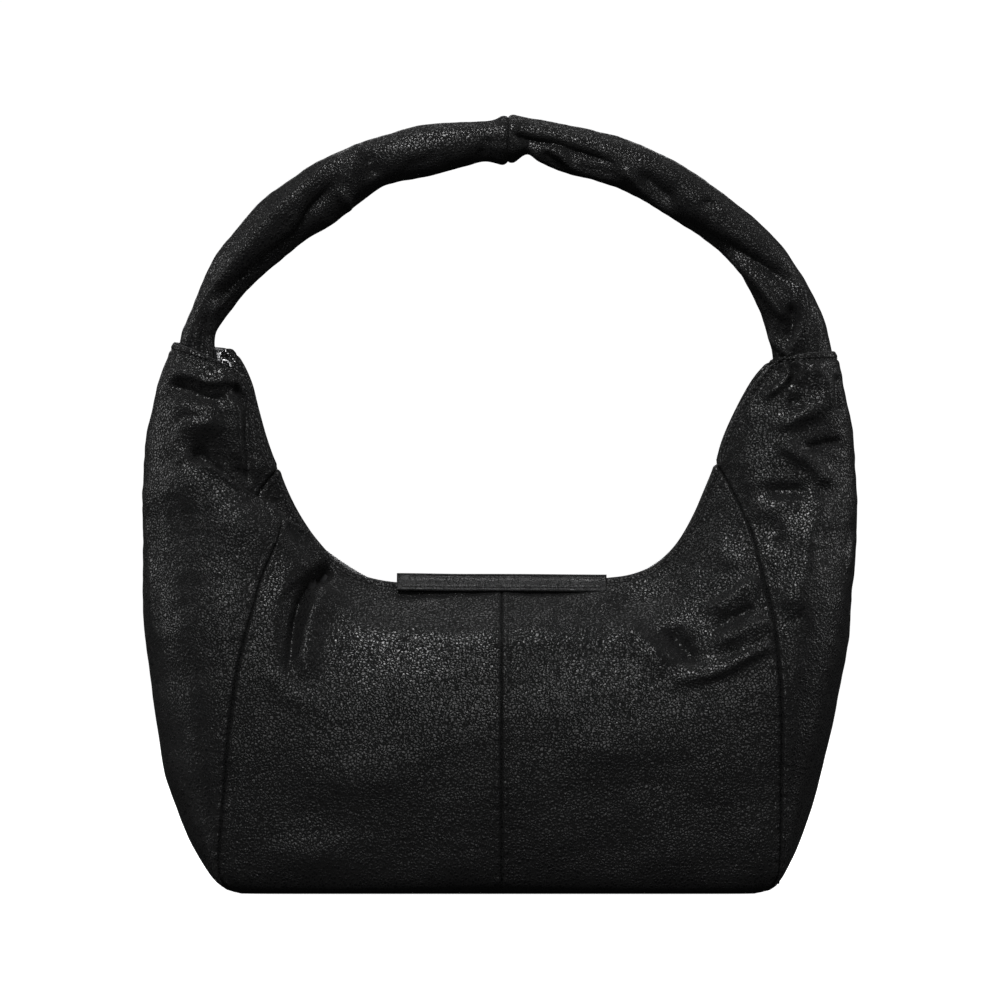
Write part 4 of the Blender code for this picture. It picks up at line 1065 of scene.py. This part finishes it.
def stitches(name, lines, pitch=3.3, long=2.5, thick=0.34):
    """Short threads lying along lines of (points, normals), one mesh for all."""
    clouds = []
    for path, ways in lines:
        along = lengths(path)
        for place in np.arange(pitch, along[-1] - pitch, pitch):
            middle = np.array([np.interp(place, along, column) for column in path.T])
            way = unit(np.array([np.interp(place, along, column) for column in ways.T]))
            ahead = np.array([np.interp(place + 0.6, along, column) for column in path.T]) - middle
            tangent = unit(ahead - way * (ahead @ way))
            side = np.cross(way, tangent)
            shape = []
            for share, size, rise in STITCH_RINGS:
                for turn in np.linspace(0, 2 * math.pi, STITCH_SIDES + 1)[:-1]:
                    spoke = thick * size * (math.cos(turn) * side + math.sin(turn) * way)
                    shape.append(middle + tangent * share * long / 2 + spoke + way * rise)
            clouds.append(np.array(shape))
    mesh = bpy.data.meshes.new(name)
    faces = []
    around, count = range(STITCH_SIDES), STITCH_SIDES * len(STITCH_RINGS)
    for first in range(0, count * len(clouds), count):
        last = first + count - STITCH_SIDES
        for ring in range(first, last, STITCH_SIDES):
            for t in around:
                a, b = ring + t, ring + (t + 1) % STITCH_SIDES
                faces.append([a, b, b + STITCH_SIDES, a + STITCH_SIDES])
        faces += [[first + t for t in reversed(around)], [last + t for t in around]]
    mesh.from_pydata((np.vstack(clouds) * 0.001).tolist(), [], faces)
    mesh.shade_smooth()
    made = placed(name, mesh, THREAD)
    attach(made, "bag")


def offset_line(grid, normal, axis, from_end, distance):
    """The line this far in from a grid's edge, with its normals."""
    gap = along_distance(grid, axis, from_end)
    points, ways = [], []
    for k in range(grid.shape[1 - axis]):
        row = gap[:, k] if axis == 0 else gap[k]
        line = grid[:, k] if axis == 0 else grid[k]
        way = normal[:, k] if axis == 0 else normal[k]
        order = slice(None, None, -1) if from_end else slice(None)
        points.append([np.interp(distance, row[order], column) for column in line[order].T])
        ways.append([np.interp(distance, row[order], column) for column in way[order].T])
    return np.array(points), unit(np.array(ways))


lines = []
for side in (1, -1):
    for face in (-1, 1):
        lines.append(offset_line(skin["centre", side, face], steps["centre", side, face], 0, True, STITCH_IN))
        grid, way = skin["side", side][junction + 1 : -6], steps["side", side][junction + 1 : -6]
        lines.append(offset_line(grid, way, 1, face > 0, STITCH_IN))
    grid, way = skin["side", side], steps["side", side]
    lines.append(offset_line(grid[:, 10:-10], way[:, 10:-10], 0, True, STITCH_IN))
stitches("lip_stitches", lines)

STRIP_PROFILE = dense([(-21.6, 0), (-17.6, 3.2), (-14.6, 6.4), (-12.9, 9.4), (-12.3, 11.4)], 6)


def strip_depth(v):
    return np.interp(v, STRIP_PROFILE[:, 1], STRIP_PROFILE[:, 0])


def strip_place(u, v):
    """The strip's middle surface, as y and z."""
    y = strip_depth(v) - 1.4 - 0.9 * smoothstep(u, 36, 60)
    return y, 175.0 + v + 0.5 * smoothstep(-u, 20, 62) - 0.4 * smoothstep(u, 0, 62)


def strip_point(u, v):
    """A point on the strip's front and its normal."""
    way = unit(np.array([0, -1.0, strip_depth(v + 0.5) - strip_depth(v - 0.5)]))
    return np.array([u, *strip_place(u, v)]) + way * 0.95, way


strip_u = rim_steps(123.6, 1.2, 70) - 60.8
strip_v = rim_steps(9.9, 1.2, 12) + 1.2
su, sv = np.meshgrid(strip_u, strip_v)
strip_y, strip_z = strip_place(su, sv)
strip_y = strip_y + waves(np.stack([su, 0 * su, sv], -1), 0.18, 20, 50, 6, 11)
strip_middle = np.stack([su, strip_y, strip_z], -1)
strip_normal = normals_of(strip_middle)
strip_normal *= np.sign(-strip_normal[..., 1:2])
sheets = slab(strip_middle, strip_normal, strip_u, strip_v, 2.3, 0.9)
rim = np.minimum(np.minimum(su - su.min(), su.max() - su), np.minimum(sv - sv.min(), sv.max() - sv))
dip = -0.7 * np.exp(-(((rim - 1.7) / 0.45) ** 2))
sheets[0] = sheets[0] + strip_normal * dip[..., None]
strip = build("front_strip_leather", sheets, SMOOTH_LEATHER_PAINTED_LIGHT, (0, -1, 0))
stands_for(strip, "front_strip")

frame_line = [(-59.1, 9.6), (-59.1, 2.9), (61.1, 2.9), (61.1, 9.6)]
lines = []
for (u0, v0), (u1, v1) in zip(frame_line[:-1], frame_line[1:]):
    places = [strip_point(u0 + (u1 - u0) * t, v0 + (v1 - v0) * t) for t in np.linspace(0, 1, 40)]
    lines.append((np.array([p for p, _ in places]), np.array([w for _, w in places])))
stitches("strip_stitches", lines, pitch=2.4, long=1.6, thick=0.4)

# Turned edges of the shoulders' openings, in place of the collars, in the edge leather whose light colour is
# a painted highlight
for side, name in SIDES.items():
    grid, way = skin["side", side], steps["side", side]
    top = grid[-1] - way[-1] * ROLL + np.array([0, 0, ROLL * 0.55])
    path = at_shares(top, np.linspace(0, 1, 90), 1)
    edge = build(f"collar_{name}_edge", [swept(path, np.full(90, 0.75), 10)], EDGE, None)
    stands_for(edge, f"collar_{name}")
    tab_u, tab_v = rim_steps(18, 1.0, 6) - 9, rim_steps(27, 1.0, 6) + 290
    tu, tv = np.meshgrid(tab_u, tab_v)
    middle = np.stack([0 * tu + side * 184.75, tu, tv], -1)
    sheets = slab(middle, np.array([side, 0, 0]), tab_u, tab_v, 2.5, 0.9)
    tab = build(f"handle_anchor_{name}_leather", sheets, EDGE, (side, 0, 0))
    stands_for(tab, f"handle_anchor_{name}")


# ---------------------------------------------------------------- handle

TUBE_STATIONS = spaced(300, 0.45, 1.5, starts=False)
TUBE_TURN = np.linspace(0, 2 * math.pi, 97)


def handle_tube(side, shrink=0.0, stations=TUBE_STATIONS, turn=TUBE_TURN):
    """The tube between the handle's outer and inner edges, from inside the shoulder to the top seam."""
    outer = at_shares(softened(HANDLE_OUTER[side], 4, 30), stations, 1)
    inner = at_shares(softened(HANDLE_INNER[side], 3, 40), stations, 1)
    middle, reach = (outer + inner) / 2, (outer - inner) / 2
    half = np.linalg.norm(reach, axis=1)
    way = reach / half[:, None]
    deep = np.clip(smooth_line(half, 20) * 0.92, 10.5, 14.0)
    half, deep = half - shrink, deep - shrink
    x = middle[:, :1] + way[:, :1] * half[:, None] * np.cos(turn)
    z = middle[:, 1:] + way[:, 1:] * half[:, None] * np.cos(turn)
    y = -deep[:, None] * np.sin(turn)
    return np.stack([x * side, y, z], -1), middle * (side, 1)


for side, name in SIDES.items():
    grid, middle = handle_tube(side)
    centre = np.stack([middle[:, 0], 0 * middle[:, 0], middle[:, 1]], 1)[:, None]
    normal = unit(grid - centre)
    raised = both_sides(grid, HANDLE_FRONT_FOLDS, HANDLE_BACK_FOLDS)
    raised *= 0.15 + 0.85 * smoothstep(np.abs(grid[..., 1]), 1, 8)
    raised += waves(grid, 0.22, 16, 40, 9, 21) + waves(grid, 0.10, 6, 12, 12, 22)
    end_gap = along_distance(grid, 0, True)
    raised += -0.9 * np.exp(-end_gap / 0.5) + 0.3 * np.exp(-(((end_gap - 3.2) / 2.2) ** 2))
    gathers = np.sin(np.arctan2(grid[..., 1], grid[..., 2] - 443) * 11 + side) * np.exp(-end_gap / 9)
    raised += 0.3 * gathers * smoothstep(end_gap, 0, 3)
    grid = grid + normal * raised[..., None]
    grid[-1, :, 0] = TOP_SEAM_X
    grid[:, -1] = grid[:, 0]
    cover = build(f"handle_cover_{name}_skin", [grid], LEATHER, None, body=None)
    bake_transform(cover)
    stands_for(cover, f"handle_cover_{name}")

shares = np.linspace(0.13, 1, 90)
turn = np.linspace(0, 2 * math.pi, 33)
right, _ = handle_tube(1, 5.6, shares, turn)
left, _ = handle_tube(-1, 5.6, shares, turn)
rope = np.concatenate([right, left[-2::-1]])
first, last = [end.mean(1, keepdims=True) + 0 * end for end in (rope[:1], rope[-1:])]
rope = np.concatenate([first, rope, last])
core = build("handle_core_rope", [rope], CORE, None, "handle")
stands_for(core, "handle_core")

for cad_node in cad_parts.values():
    if not cad_node.hide_render:
        cad_node.data.materials.clear()
        cad_node.data.materials.append(BOARD)


# ---------------------------------------------------------------- stage


def stage_piece(name):
    """The active object becomes a white part of the studio that throws no light on the bag."""
    made = bpy.context.active_object
    made.name = name
    made.data.materials.append(white)
    made.visible_diffuse = False
    made.visible_glossy = False


def softbox(name, place, size, energy):
    """An area light that faces the bag's middle."""
    light = bpy.data.lights.new(name, "AREA")
    light.shape = "RECTANGLE"
    light.size, light.size_y = size
    light.energy = energy
    made = bpy.data.objects.new(name, light)
    made.location = place
    way = np.array((0, 0, 0.22)) - np.array(place)
    level = math.hypot(way[0], way[1])
    made.rotation_euler = (math.atan2(level, -way[2]), 0, math.atan2(way[1], way[0]) - math.pi / 2)
    bpy.context.scene.collection.objects.link(made)


white, _, white_shader = new_material("studio_white", (0.9, 0.9, 0.9), 0.9, specular=0.0)
white_shader.inputs["Emission Color"].default_value = (1, 1, 1, 1)
white_shader.inputs["Emission Strength"].default_value = 1.0
bpy.ops.mesh.primitive_plane_add(size=5.0, location=(0, 1.3, -0.0008), rotation=(0, 0, 0))
stage_piece("studio_floor")
bpy.ops.mesh.primitive_uv_sphere_add(segments=48, ring_count=24, radius=9, location=(0, 0, 0.2))
stage_piece("studio_wall")
softbox("key", (-0.3, -1.3, 2.05), (0.9, 0.5), 30)
softbox("front", (0.1, -2.6, 0.95), (2.4, 0.9), 15)
softbox("left", (-1.5, 0.1, 0.8), (0.5, 1.2), 7)
softbox("right", (1.5, 0.1, 0.8), (0.5, 1.2), 7)
softbox("top", (0.1, 0.5, 1.9), (1.4, 0.6), 6)
softbox("back", (-0.3, 2.4, 1.1), (2.0, 0.9), 9)

world = bpy.context.scene.world or bpy.data.worlds.new("world")
bpy.context.scene.world = world
world.use_nodes = True
world.node_tree.nodes["Background"].inputs["Color"].default_value = (0.9, 0.92, 0.95, 1)
world.node_tree.nodes["Background"].inputs["Strength"].default_value = 0.01

camera = bpy.data.cameras.new("camera")
camera.sensor_width = 36
camera.lens = 243.5
view = bpy.data.objects.new("camera", camera)
view.location = (0, -CAMERA_BACK, 0.22965)
view.rotation_euler = (math.pi / 2, 0, 0)
bpy.context.scene.collection.objects.link(view)
bpy.context.scene.camera = view
bpy.context.scene.view_settings.view_transform = "Standard"
